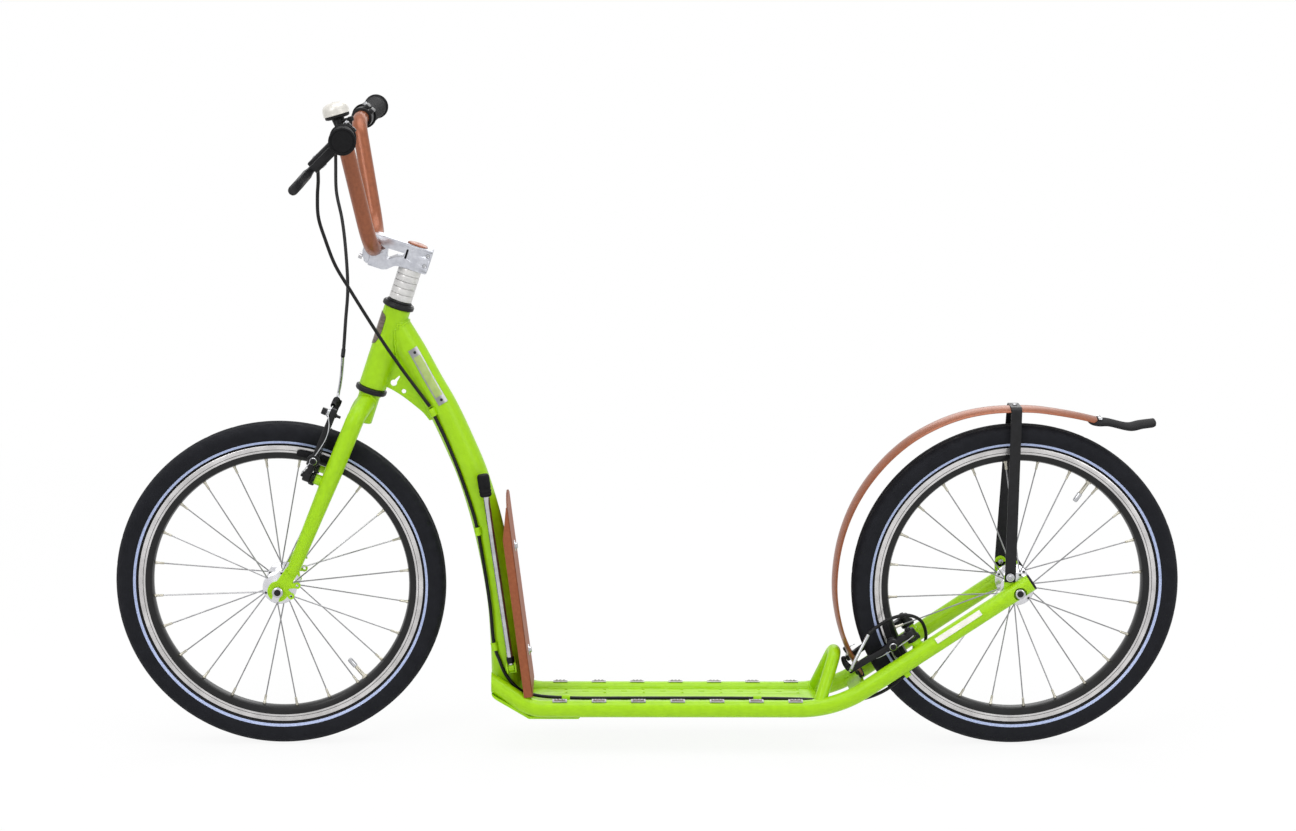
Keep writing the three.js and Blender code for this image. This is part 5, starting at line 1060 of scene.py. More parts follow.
perch = Shape().lathe(clamp_ring(PERCH_HALF, 15.6), PERCH, END, 72)
arm_line = soft_corners([(9, -11), (30, -12), (50, -12), (61, -7), (61, 7), (52, 11.5), (28, 11.5),
                         (9, 11)],
                        [1, 10, 6, 5, 5, 5, 8, 1])
arm = Shape().plate(arm_line, 18.6, PERCH, P_OUT, END, edge=2.2, steps=4)
lever_slot = Shape().plate([(22, -7.6), (70, -7.6), (70, 30), (22, 30)], 8.8, PERCH, P_OUT, END)
arm.cut(Shape().rod(at_perch(0, -40), at_perch(0, 40), 12.4, 48), lever_slot, soft=0.4)
perch.add(arm)
for side_at in (-3, 6):
    perch.box((9, 20, 7.5), at_perch(-15.8, 0, side_at), x=P_OUT, y=END, z=P_SIDE, edge=1.6)

metal = Shape().lathe([(0, 1.6), (1.9, 1.6), (1.9, 3.6), (3.0, 3.9), (3.6, 3.3), (3.6, 0), (0, 0)],
                      at_perch(-16.6, 0, 9.2), P_SIDE, 24)
metal.rod(at_perch(PIVOT_OUT, 0, -9.6), at_perch(PIVOT_OUT, 0, 9.6), 2.9, 24, 0.4)
for s in (1, -1):
    metal.lathe([(0, 0.4), (2.2, 0.4), (3.9, 0.2), (4.4, -0.4), (4.4, -1.4)],
                at_perch(PIVOT_OUT, 0, 10.2 * s), P_SIDE * s, 28)

barrel = [(2.6, 12)]
for i in range(8):
    barrel += [(4.6, 12.2 + i * 0.55), (4.2, 12.45 + i * 0.55)]
barrel += [(4.3, 16.8), (6.4, 17.1), (6.9, 17.7), (6.9, 22.4), (6.3, 23.1), (5.2, 23.3), (4.4, 24.6),
           (4.1, 29.2), (3.6, 29.9), (2.6, 30), (2.6, 12)]
barrel = Shape().lathe(barrel, at_perch(CABLE_OUT, 0), -END, 48)
for a in np.linspace(0, TURN, 18, endpoint=False):
    out, side = CABLE_OUT + 6.9 * math.cos(a), 6.9 * math.sin(a)
    barrel.rod(at_perch(out, -17.9, side), at_perch(out, -22.2, side), 0.62, 8)
make_both((perch, "{}_perch_body", SATIN, "steering", "{}_lever_perch"),
          (metal, "{}_perch_bolts", BRIGHT, "steering", None),
          (barrel, "{}_barrel_adjuster", GLOSSY, "steering", None))

LEVER_SHARES = ((0, 0), (0.1, 0.03), (0.3, 0.18), (0.6, 0.28), (0.86, 0.37), (1.0, 0.5))
lever_line = even(smooth_through([at_perch(PIVOT_OUT + o * LEVER_L, y * LEVER_L) for y, o in LEVER_SHARES],
                                 14), 64)
angles = np.linspace(0, TURN, 28, endpoint=False)
rows = []
for f, p, along in zip(np.linspace(0, 1, 64), lever_line, np.gradient(lever_line, axis=0)):
    high = lerp(3.6, 6.9, min(1, max(0, (f - 0.1) / 0.3)) ** 1.5)
    tip = math.sqrt(max(0.02, 1 - max(0, (f - 0.93) / 0.07) ** 2))
    c, s = np.cos(angles), np.sin(angles)
    u = np.sign(s) * np.abs(s) ** 0.7 * lerp(3.6, 3.3, f) * tip
    w = np.sign(c) * np.abs(c) ** 0.7 * high * tip
    rows.append(p + np.outer(u + 0.9 * (w / 7) ** 2, unit(np.cross(unit(along), P_SIDE)))
                + np.outer(w, P_SIDE))
lever = skin(rows).rod(at_perch(PIVOT_OUT, 0, -3.9), at_perch(PIVOT_OUT, 0, 3.9), 7.0, 40, 0.8)
nipple = Shape().rod(at_perch(PIVOT_OUT + 4.5, -2.2, -3.4), at_perch(PIVOT_OUT + 4.5, -2.2, 3.4), 2.6, 20,
                     0.4)
make_both((lever, "{}_lever_blade", SATIN, "{}_lever", "{}_lever"),
          (nipple, "{}_cable_nipple", BRIGHT, "{}_lever", None))

# Bell

BELL, BELL_ALONG = on_bar(136) * MIRROR, END * MIRROR
BELL_LEAN = deg(-16)
leaning = vec(math.sin(BELL_LEAN), 0, math.cos(BELL_LEAN))
BELL_UP = unit(leaning - BELL_ALONG * (BELL_ALONG @ leaning))
BELL_H, BELL_R = 31, 18.5
BELL_FACE = BELL + BELL_UP * BELL_H
post = BELL_ALONG * BELL_R * 0.62
THUMB = BELL + BELL_UP * BELL_H * 0.66 + post
THUMB_BACK = unit(np.cross(BELL_ALONG, BELL_UP))
THUMB_BACK = THUMB_BACK * np.sign(THUMB_BACK[0])
base = Shape().lathe(clamp_ring(5, 15.0), BELL, BELL_ALONG, 64)
base.rod(BELL + BELL_UP * 12.5, BELL_FACE - BELL_UP * 2, 7, 40, 0.4, r2=9.5)
base.lathe([(0, -5.4), (13.5, -5.4), (16.6, -4.4), (17.4, -3.2), (17.4, -0.9), (16.9, -0.4), (0, -0.4)],
           BELL_FACE, BELL_UP, 64)
base.box((9, 8, 12), BELL - BELL_UP * 15.5, x=THUMB_BACK, y=BELL_ALONG, z=BELL_UP, edge=1.4)
base.rod(THUMB - BELL_UP * 5.6, BELL_FACE - BELL_UP * 1.6 + post, 1.6, 20)
base.rod(THUMB - BELL_UP * 5.7, THUMB - BELL_UP * 4.3, 2.7, 24, 0.3)
base.make("bell_clamp", PLASTIC, "steering", "bell_base")
screw = Shape().lathe([(0, 0.2), (1.8, 0.2), (1.8, 1.3), (2.9, 1.6), (3.4, 1.0), (3.4, -6), (0, -6)],
                      BELL - BELL_UP * 16.5 + THUMB_BACK * 5.4, THUMB_BACK, 24)
screw.make("bell_clamp_screw", BRIGHT, "steering")
dome = [(16.9, 0.4), (18.0, -0.3), (18.6, 0), (18.7, 0.8), (18.5, 1.6), (18.35, 2.4), (18.3, 6.6),
        (17.9, 9.6), (16.8, 12.3), (14.6, 14.6), (11.4, 16.1), (7.6, 16.9), (3.6, 17.0), (3.4, 16.6),
        (2.6, 16.6), (2.5, 17.4), (1.8, 17.9), (0, 18.0)]
Shape().lathe(dome, BELL_FACE, BELL_UP, 96).make("bell_shell", PEARL, "steering", "bell_dome")
thumb = Shape().rod(THUMB - BELL_UP * 4, THUMB + BELL_UP * 4, 4, 32, 0.6)
tip = THUMB + THUMB_BACK * 17
thumb.tube(smooth_through([THUMB, THUMB + THUMB_BACK * 9 + BELL_UP * 0.4, tip], 8), 2.6, 20)
thumb.rod(tip - BELL_UP * 3.4, tip + BELL_UP * 3.4, 4.3, 32, 1.4)
thumb.make("bell_thumb", PLASTIC, "bell_thumb_lever", "bell_thumb_lever")

# Axles with their nuts and washers


def axle(centre, nut_at, name, body, node):
    form = Shape()
    for s, _ in HANDS:
        out = Y_AXIS * s
        form.plate(circle(0, 0, 8.0, 6, deg(14)), 5.8, centre + out * (nut_at + 2.9), edge=0.7, steps=3)
        form.lathe([(4.9, 0), (7.4, 0), (7.9, 0.3), (7.4, 0.7), (6.4, 1.4), (4.9, 1.6)],
                   centre + out * (nut_at + 5.6), out, 36)
        grooves = [(4.7 - 0.3 * (k % 2), nut_at + 5 + 0.45 * k) for k in range(7)]
        form.lathe([(0, 40), (4.6, 40), *grooves, (3.8, nut_at + 8.1), (0, nut_at + 8.2)], centre, out, 32,
                   kind=1)
        form.lathe([(5.3, 45.8), (7.9, 45.8), (7.9, 49.3), (5.3, 49.3), (5.3, 45.8)], centre, out, 32,
                   kind=1)
    form.make(name, [BRIGHT, GLOSSY], body, node)


axle(AXLE_F, 54.7, "front_axle_nuts", "steering", "front_axle")
axle(AXLE_B, 54.3, "rear_axle_nuts", "frame", "rear_axle")

# Rim brakes, built at the stud: a up the arm, b across the bike, c out along the stud

ARM_T, ARM_L, HEAD_Y = 11.0, 105.0, 31
PAD_R, PAD_L = 201.6, 55
PAD = ((14.0, -4.2), (14.0, 4.2), (14.8, 4.9), (18.9, 4.9), (19.2, 4.3), (22.4, 3.9), (23.1, 2.8),
       (23.1, -2.8), (22.4, -3.9), (19.2, -4.3), (18.9, -4.9), (14.8, -4.9))


def arm_y(a):
    """How far out across the bike the middle of an arm is, at a height on it."""
    return lerp(STUD_Y, HEAD_Y, a / ARM_L)


def brake(which, stud_at, up, out, boss, axle_at, spring):
    """One pair of arms, with pads, screws and springs. Gives back how to place things on it."""
    stud_at = stud_at * vec(1, 0, 1)

    def spot(a, b, c):
        return stud_at + up * a + Y_AXIS * b + out * c

    low = boss + 0.5
    mid = low + ARM_T / 2
    axle_up, axle_out = (axle_at - stud_at) @ up, (axle_at - stud_at) @ out
    pad_a = axle_up + math.sqrt(PAD_R**2 - (mid - axle_out)**2)
    pad_y = arm_y(pad_a)
    for s, word in HANDS:
        body, across = f"{which}_brake_{word}", Y_AXIS * s
        arm = Shape().lathe([(5.2, 0), (7.9, 0), (9.0, 0.8), (9.0, ARM_T - 0.8), (8.2, ARM_T), (5.2, ARM_T),
                             (5.2, 0)],
                            spot(0, STUD_Y * s, low), out, 48)
        edge_line = [(31, 7.0), (79, 5.3), (ARM_L, 3.8), (ARM_L, -4.8), (79, -4.4), (31, -3.4)]
        line = [(-2, 33.4), (-2, 48.6)] + [(a, arm_y(a) + off) for a, off in edge_line]
        line = soft_corners([(a, s * y) for a, y in line], [6, 6, 30, 30, 3.5, 3.5, 30, 30], 4)
        blade = Shape().plate(line, 8.6, stud_at + out * mid, up, Y_AXIS, edge=1.3, steps=3)
        hollow = [(a, s * (arm_y(a) + off)) for a, off in ((40, 3.4), (86, 2.6), (86, -2.2), (40, -1.8))]
        relief = Shape().plate(soft_corners(hollow, [2.4] * 4, 4), 4, stud_at + out * (mid + 5.2), up,
                               Y_AXIS)
        blade.cut(Shape().rod(spot(0, STUD_Y * s, low - 4), spot(0, STUD_Y * s, low + ARM_T + 4), 5.4, 32),
                  relief)
        arm.add(blade)
        arm.rod(spot(pad_a, s * (pad_y - 5), mid), spot(pad_a, s * (pad_y + 9.5), mid), 6.4, 40, 0.9)
        arm.make(f"{which}_arm_{word}", SATIN, body, f"{which}_brake_arm_{word}")
        metal = Shape().lathe([(0, 1.4), (1.7, 1.4), (1.7, 3.4), (2.6, 3.7), (4.2, 3.2), (4.4, 2.2),
                               (4.4, 0), (7.4, -0.1), (7.6, -0.9), (0, -0.9)],
                              spot(0, STUD_Y * s, low + ARM_T + 0.6), out, 28)
        metal.lathe([(0, 4.6), (1.8, 4.6), (1.8, 6.6), (4.7, 6.6), (5.5, 5.8), (5.5, 0), (6.9, -0.2),
                     (6.9, -1.4), (0, -1.4)], spot(pad_a, s * (pad_y + 9.8), mid), across, 32,
                    kinds=[0, 0, 0, 1, 0, 0, 0, 0])
        metal.rod(spot(pad_a, s * 22.6, mid), spot(pad_a, s * (pad_y + 9), mid), 3.2, 24)
        metal.lathe([(0, 9.0), (7.4, 9.0), (9.0, 8.2), (9.6, 6.4), (9.6, 5.2), (0, 5.0)],
                    spot(pad_a, s * (pad_y - 0.4), mid), across, 36)
        metal.box((17, 9, 9), spot(-2, STUD_Y * s, low - 3.4), x=up, y=Y_AXIS, z=out, edge=2)
        metal.lathe([(0, 0), (6.8, 0), (6.8, 1.4), (5.4, 3.2), (3.4, 3.4)], spot(pad_a, s * 23.4, mid),
                    across, 32)
        wire = [(-3, 49.6, 2), (4, 50.6, 1.5), (14, 49.2, 0.6), (34, arm_y(34) + 7.6, -0.2),
                (56, arm_y(56) + 4, -0.4), (62, arm_y(62) - 1.5, -0.4)]
        metal.tube(smooth_through([spot(a, s * y, low + c) for a, y, c in wire], 10), 0.8, 10, kind=spring)
        for k in range(3):
            coil = ring_of(spot(0, STUD_Y * s, low - 1.4 - 1.9 * k), up, Y_AXIS, 9.4)
            metal.tube(coil, 0.85, 10, loop=True)
        metal.make(f"{which}_brake_hardware_{word}", [SATIN, BRIGHT], body)
        rows = []
        for i in range(41):
            a = math.asin((mid - axle_out) / PAD_R) + PAD_L * (i / 40 - 0.5) / PAD_R
            squeeze = 1 - 0.34 * max(0, abs(i / 20 - 1) - 0.86) / 0.14
            groove = 0.9 if i in (9, 10, 19, 21, 30, 31) else 0.0
            rows.append([spot(axle_up + (PAD_R + r * squeeze) * math.cos(a),
                              s * (y + (groove if y < 14.5 else 0)),
                              axle_out + (PAD_R + r * squeeze) * math.sin(a)) for y, r in PAD])
        skin(rows).make(f"{which}_pad_block_{word}", RUBBER, body, f"{which}_brake_pad_{word}", crease=40)
    return spot, mid


front_spot, front_mid = brake("front", FRONT_STUD, ARM_UP, STUD_OUT, FRONT_BOSS, AXLE_F, 0)
rear_spot, rear_mid = brake("rear", REAR_STUD, -STAY, STAY_UP, REAR_BOSS, AXLE_B, 1)

# Noodles, boots, anchor bolts and wires


def puller(which, spot, mid, out, s, path, boot_path, tail, base):
    """The bent lead on one arm's head with its boot, and the bolt on the other arm that holds the wire."""
    holder, other = (f"{which}_brake_{word}"
                     for word in (("right", "left") if s > 0 else ("left", "right")))
    path, boot_path = route(path), route(boot_path)
    noodle = Shape().tube(smooth_through(path, 10), np.linspace(2.7, 2.2, 10 * (len(path) - 1) + 1), 20)
    noodle.make(which + "_noodle", BRIGHT, base, bend=(holder, path[0], path[-3]))
    head = Shape().box((10, 7.6, 10.5), spot(102, s * HEAD_Y, mid), x=out, z=np.cross(out, Y_AXIS),
                       edge=1.8)
    line = even(smooth_through(boot_path, 12), 90)
    run = np.linspace(0, 1, 90)
    ribs = 5.6 - 1.9 * run - 0.9 * np.abs(np.sin(run * math.pi * 7)) * (run < 0.8)
    ribs[:4] = (2.6, 4.0, 5.0, 5.5)
    boot = Shape().tube(line, ribs, 24)
    mouth = line[-1] + unit(line[-1] - line[-6]) * 3
    boot.cut(Shape().tube(np.vstack([line[-32:-2], mouth]), 2.6, 16))
    head.add(boot).make(which + "_noodle_holder", RUBBER, holder)
    at = spot(96, -HEAD_Y * s, mid)
    bolt = Shape().lathe([(0, 4.4), (6.2, 4.4), (6.6, 4.8), (6.6, 6.4), (6.2, 6.8), (5.0, 6.9), (5.0, 8.6),
                          (4.4, 9.2), (0, 9.2)], at, out, 32, kind=1)
    bolt.lathe([(0, 15.0), (2.2, 15.0), (2.2, 16.6), (4.6, 16.6), (5.4, 15.8), (5.6, 9.4), (0, 9.3)], at,
               out, 6)
    bolt.lathe([(0, -4.2), (3.4, -4.2), (3.4, -6.4), (2.2, -6.6), (2.0, -12.4), (0, -12.6)], at, out, 24)
    wire_from, wire_on = boot_path[-1] + Y_AXIS * 1.2 * s, boot_path[-1] - Y_AXIS * 8.5 * s
    under_bolt = at + out * 7.8 - Z_AXIS * 5.6
    wire = smooth_through([wire_from, lerp(wire_from, wire_on, 0.5), wire_on, under_bolt, *route(tail)], 8)
    bolt.tube(wire, 0.75, 10, kind=1)
    bolt.make(which + "_anchor_bolt", [SATIN, BRIGHT], other)


puller("front", front_spot, front_mid, STUD_OUT, 1,
       ((-449.5, 6, 581), (-451.3, 14, 565), (-454.2, 28, 547), (-457.6, 40, 530), (-459.8, 45.6, 521),
        (-460.6, 43.5, 515.4), (-460.9, 38, 513.2), (-461, 24, 512.8)),
       ((-461, 26, 512.8), (-461.5, 12, 513.2), (-462.4, -2, 512.7), (-462.8, -14.5, 512.3)),
       ((-468.2, -38, 503), (-466.7, -40, 488.3), (-470, -43, 471.9), (-478.3, -45, 456.5),
        (-492.8, -47.5, 436.4), (-506.7, -50, 418.7)), "steering")
puller("rear", rear_spot, rear_mid, STAY_UP, -1,
       ((324, -37.5, 175), (318, -39, 163.5), (312, -41.5, 152), (306, -43.8, 140.5), (301.4, -44.6, 131),
        (299, -43, 124.5), (298.4, -38, 120.6), (298.2, -24, 120)),
       ((298.2, -25, 120), (294.8, -13, 121.4), (292.6, 1, 123.4), (292.4, 13, 124.4)),
       ((304, 33, 137), (311, 34, 141)), "frame")

# Cable housings


def housing(points, name, body, node, bend=None):
    Shape().tube(smooth_through(points, 14), 2.5, 20).make(name, HOUSING, body, node, bend=bend)


lead = [at_perch(CABLE_OUT, -24), at_perch(CABLE_OUT, -29.5)]
front_route = route(((-468, 138, 845), (-466, 122, 810), (-456, 98, 771), (-449, 72, 729), (-444, 40, 674),
                     (-446, 22, 633), (-448.6, 10, 590), (-449.4, 6, 582)))
housing(lead + front_route, "front_housing", "steering", "front_cable")
loop_route = route(((-467, -141, 855), (-469, -135, 832), (-469, -126, 801), (-461, -114, 768),
                    (-449, -99, 730), (-430, -81, 692), (-402, -54, 638), (-384, -41, 606),
                    (-361, -29, 569), (-338, -24, 536), (-322, -21.5, 513)))
housing([q * MIRROR for q in lead] + loop_route, "rear_housing_loop", "frame", "rear_cable_loop",
        bend=("steering", loop_route[-1], loop_route[0]))
run_route = route(((-320.5, -21.3, 510), (-300, -19.8, 466), (-277, -18.6, 407), (-256, -19.4, 340),
                   (-245, -19, 280), (-235, -19, 212), (-229, -19.5, 152), (-221, -23, 130),
                   (-211, -25, 108), (-190, -27, 86), (-165, -25, 77.4), (-120, -25, 74),
                   (-20, -25.5, 73.8), (120, -25.5, 73.8), (225, -30, 73.8), (290, -31, 71), (325, -33, 77),
                   (356, -34, 92), (385, -29, 116), (404, -28.5, 146), (410, -30, 172), (401, -36, 196),
                   (380, -42, 206), (356, -40, 200), (338, -37, 188), (325, -37.3, 176.4)))
housing(run_route, "rear_housing_run", "frame", "rear_cable_run")
for name, place, along, body in (("front", vec(-449.45, 6.2, 582), unit(vec(0.09, 0.45, 0.9)), "steering"),
                                 ("rear", vec(325, -37.3, 176.6), unit(vec(0.7, 0.02, 0.66)), "frame")):
    Shape().rod(place - along, place + along * 11, 3.1, 24, 0.5).make(name + "_ferrule", SATIN, body)

# Splash guard, fender, strap and flap

GUARD_L, GUARD_HALF, GUARD_T = (GUARD_HIGH - GUARD_LOW) / math.cos(GUARD_LEAN), 55.0, 1.6
G_UP = vec(-math.sin(GUARD_LEAN), 0, math.cos(GUARD_LEAN))
G_BACK = vec(math.cos(GUARD_LEAN), 0, math.sin(GUARD_LEAN))
half = [(-13, GUARD_HALF), (-2.4, GUARD_HALF)]
half += [(2.4 * math.sin(a) - 2.4, GUARD_HALF - 2.4 + 2.4 * math.cos(a))
         for a in np.linspace(0, math.pi / 2, 6)]
section = half + [(0, y) for y in np.linspace(GUARD_HALF - 6, 6 - GUARD_HALF, 30)]
section += [(x, -y) for x, y in reversed(half)]


def guard_top(x, y):
    """Height of the sheet's upper edge, arched across the back and sloped on the wings."""
    across = np.interp(abs(y) / GUARD_HALF, [0, 0.2, 0.62, 1], [1, 1, 0.985, 0.958])
    wing = np.interp(-x, [0, 1.9, 13], [1, 0.97, 0.8])
    return GUARD_L * min(across, wing)


rows = []
for f in np.linspace(0, 1, 61):
    row = [GUARD_FOOT + G_BACK * x + Y_AXIS * y + G_UP * (f * guard_top(x, y)) for x, y in section]
    inner = [q - G_BACK * GUARD_T * (abs(y) < GUARD_HALF - 1.7) - Y_AXIS * GUARD_T * np.sign(y) * (x < -1)
             for q, (x, y) in zip(row, section)]
    rows.append(row + inner[::-1])
skin(rows).make("splash_guard_sheet", GUARD_PAINT, "frame", "splash_guard")
bolts = Shape()
for z in GUARD_BOLTS:
    bolts.lathe([(0, 2.2), (2.4, 2.2), (2.4, 4.3), (3.8, 4.5), (4.9, 3.6), (5.2, 1.6), (5.2, 1.0),
                 (8.2, 0.9), (8.4, 0.1), (0, 0.1)], vec(guard_x(z), 0, z), G_BACK, 32)
bolts.make("splash_guard_bolts", BRIGHT, "frame")

CROWN_ANGLE, CROWN_SHARE = 86, 1.107
FENDER_SHARES = ((211.3, 1.093), (203, 1.1), (193, 1.106), (183, 1.1123), (174, 1.1148), (165, 1.119),
                 (156.4, 1.123), (148, 1.126), (139.8, 1.128), (132, 1.13), (124.5, 1.13), (116, 1.126),
                 (108, 1.121), (100, 1.113), (93.6, 1.107), (CROWN_ANGLE, CROWN_SHARE), (78.7, 1.109),
                 (72, 1.12), (66, 1.137))
FENDER_HALF, FENDER_ARCH, TAIL_T = 21, 5.4, 2.6
fender_line = even(smooth_through([wheel_point(AXLE_B, deg(a), TYRE_R * share, 0)
                                   for a, share in FENDER_SHARES], 8), 150)


def away_from_axle(along, p):
    """The direction across a strip, away from the rear axle."""
    n = np.cross(along, Y_AXIS)
    return n if n @ (p - AXLE_B) > 0 else -n


def strip(line, half_w, thick, ends=6.0, columns=24):
    """An arched strip swept along a line in the plane of the frame, its corners rounded."""
    run = run_along(line)
    rows = []
    for p, along, at in zip(line, np.gradient(line, axis=0), run):
        n = away_from_axle(unit(along), p)
        near = min(at, run[-1] - at, ends)
        w = half_w - ends + math.sqrt(max(0, ends**2 - (ends - near)**2))
        top, low = [], []
        for u in np.linspace(-1, 1, columns + 1):
            rise = FENDER_ARCH * (u * w / half_w) ** 2
            lip = 0.5 * thick * max(0, abs(u) - 0.93) / 0.07
            top.append(p + Y_AXIS * u * w - n * (rise - thick + lip))
            low.append(p + Y_AXIS * u * w - n * rise)
        rows.append(top + low[::-1])
    return skin(rows)


strip(fender_line, FENDER_HALF, 1.6).make("fender_strip", COPPER, "frame", "rear_fender")
foot_dir = unit(fender_line[3] - fender_line[0])
foot_out = away_from_axle(foot_dir, fender_line[0])
clasp = Shape().box((12, 30, 8.4), fender_line[0] + foot_dir * 3 - foot_out * 1.5, x=foot_dir, z=foot_out,
                    edge=1.8)
clasp.rod(fender_line[0] + foot_dir * 4, fender_line[0] + foot_dir * 4 + foot_out * 5.2, 4.2, 28, 0.8)
clasp.make("fender_clasp", PLASTIC, "frame")

STRAP_T = 2.5
CROWN_Z = AXLE_B[2] + TYRE_R * CROWN_SHARE * math.sin(deg(CROWN_ANGLE))
FOOT_Y, TOP_Z, TOP_Y = 50 + STRAP_T / 2, CROWN_Z + GAP + STRAP_T, FENDER_HALF + GAP + STRAP_T
strap_lean = (AXLE_B[0] - 8 - TAB[0]) / (TOP_Z - TAB[2])
strap_half = [(FOOT_Y, TAB[2] - 7), (FOOT_Y, TAB[2] + 8.4 + STRAP_T), (TOP_Y - STRAP_T / 2, TOP_Z - 5),
              (TOP_Y - 5.2, TOP_Z - STRAP_T / 2)]
strap_path = bent([vec(0, y, z) for y, z in strap_half] + [vec(0, -y, z) for y, z in reversed(strap_half)],
                  [10, 7, 7, 7, 7, 10], 10)
strap_path = strap_path[np.r_[True, np.linalg.norm(np.diff(strap_path, axis=0), axis=1) > 0.05]]
band = [(-8, -0.7), (-7.4, -1.25), (7.4, -1.25), (8, -0.7), (8, 0.7), (7.4, 1.25), (-7.4, 1.25), (-8, 0.7)]


def strap_x(z):
    return TAB[0] + strap_lean * (z - TAB[2])


rows = []
for p, along in zip(strap_path, np.gradient(strap_path, axis=0)):
    n = unit(np.cross(unit(along), X_AXIS))
    rows.append([vec(strap_x(p[2]) + x, p[1], p[2]) + n * y for x, y in band])
strap = skin(rows)
bolts = Shape()
for s, _ in HANDS:
    strap.rod(TAB + Y_AXIS * s * (FOOT_Y - STRAP_T / 2), TAB + Y_AXIS * s * (FOOT_Y + STRAP_T / 2), 8, 40,
              0.5)
    bolts.lathe([(0, 3.4), (2.0, 3.4), (2.0, 5.2), (3.2, 5.4), (4.0, 4.6), (4.2, 2.3), (6.2, 2.1),
                 (6.4, 1.3), (0, 1.3)], TAB + Y_AXIS * s * FOOT_Y, Y_AXIS * s, 28)
    bolts.plate(circle(0, 0, 4.2, 6), 2.8, TAB + Y_AXIS * s * 45.2, edge=0.5)
strap.make("strap_band", SATIN, "frame", "fender_strap", crease=24)
bolts.rod(vec(strap_x(TOP_Z), 0, TOP_Z - 0.4), vec(strap_x(TOP_Z), 0, TOP_Z + 1.8), 3.6, 28, 0.7)
bolts.make("strap_bolts", BRIGHT, "frame")

tail = fender_line[-1]
FLAP_SHARES = ((-0.16, 0), (0, -0.036), (0.16, -0.036), (0.53, -0.11), (0.7, -0.075), (0.94, -0.043))
flap_line = even(smooth_through([tail + vec(a, 0, b) * 92 for a, b in FLAP_SHARES], 10), 60)
strip(flap_line, 23, TAIL_T, ends=9, columns=20).make("flap_sheet", RUBBER, "frame", "fender_flap")
rivets = Shape()
for s, _ in HANDS:
    rivets.lathe([(0, 1.6), (2.2, 1.5), (3.4, 0.9), (3.8, -1.4), (0, -1.4)], tail + vec(5, 8 * s, 0.4),
                 Z_AXIS, 24)
rivets.make("flap_rivets", BRIGHT, "frame")

# Side stand

STAND, STAND_LEAN = vec(-203.2, -31, 122), deg(8.1)
S_UP = vec(-math.sin(STAND_LEAN), 0, math.cos(STAND_LEAN))
S_AXIS = vec(math.cos(STAND_LEAN), 0, math.sin(STAND_LEAN))
cheeks = Shape()
cheek = soft_corners([(-13.0, -8.6), (13.5, -8.6), (23.9, -8.6), (23.9, 8.6), (13.5, 8.6), (-13.0, 8.6)],
                     [2, 1, 7.5, 7.5, 1, 2], 8)
pin = Shape().rod(STAND - S_AXIS * 8.2, STAND + S_AXIS * 8.2, 2.5, 24, 0.3)
for s in (-1, 1):
    cheeks.plate([(a - 17.5, b) for a, b in cheek], 2.2, STAND + S_AXIS * s * 6.1, -Y_AXIS, S_UP, edge=0.4)
    pin.lathe([(0, 1.8), (2.0, 1.8), (3.6, 1.4), (4.4, 0.6), (4.4, 0), (0, 0)], STAND + S_AXIS * s * 7.2,
              S_AXIS * s, 28)
foot_plate = STAND - S_UP * 7.5
cheeks.box((14.4, 20.5, 2.2), vec(foot_plate[0], -20.75, foot_plate[2]), x=S_AXIS, z=S_UP, edge=0.4)
cheeks.box((14.4, 10.4, 17.2), vec(STAND[0], -17.4, STAND[2]), x=S_AXIS, z=S_UP, edge=0.4)
cheeks.weld([vec(STAND[0], -19.6, STAND[2]) + S_UP * 9.1 + S_AXIS * x for x in np.linspace(-6, 6, 8)], 1.3)
cheeks.make("stand_cheeks", LIME, "frame", "stand_bracket")
pin.make("stand_pin", LIME, "frame")
leg = Shape().rod(STAND - S_AXIS * 4.4, STAND + S_AXIS * 4.4, 6.4, 40, 0.8, kind=1)
leg.rod(STAND + S_UP * 4, STAND + S_UP * 268, 4.6, 36, 1)
leg.weld(ring_of(STAND + S_UP * 6.4, S_AXIS, Y_AXIS, 4.7, 48), 1.0, loop=True)
leg.make("stand_leg", [BRIGHT, LIME], "side_stand", "stand_rod")
Shape().rod(STAND + S_UP * 7.5, STAND + S_UP * 17, 5.6, 32, 0.8).make("stand_sleeve", PLASTIC, "side_stand")
shoe = [(4.8, -0.2), (7.4, 0), (8.6, 1.4), (9.0, 3.6), (8.4, 4.6), (8.4, 6.0), (9.0, 7.0), (9.0, 9.0),
        (8.4, 10), (8.4, 11.4), (9, 12.4), (9, 28.6), (8.7, 30.8), (7.6, 32.6), (5.6, 33), (0, 33),
        (0, 8.4), (4.8, 8.4), (4.8, -0.2)]
Shape().lathe(shoe, STAND + S_UP * 262, S_UP, 48).make("stand_shoe", RUBBER, "side_stand", "stand_foot")

# Deck clips, cable guides, name plate, label, lug, rest pad and badge

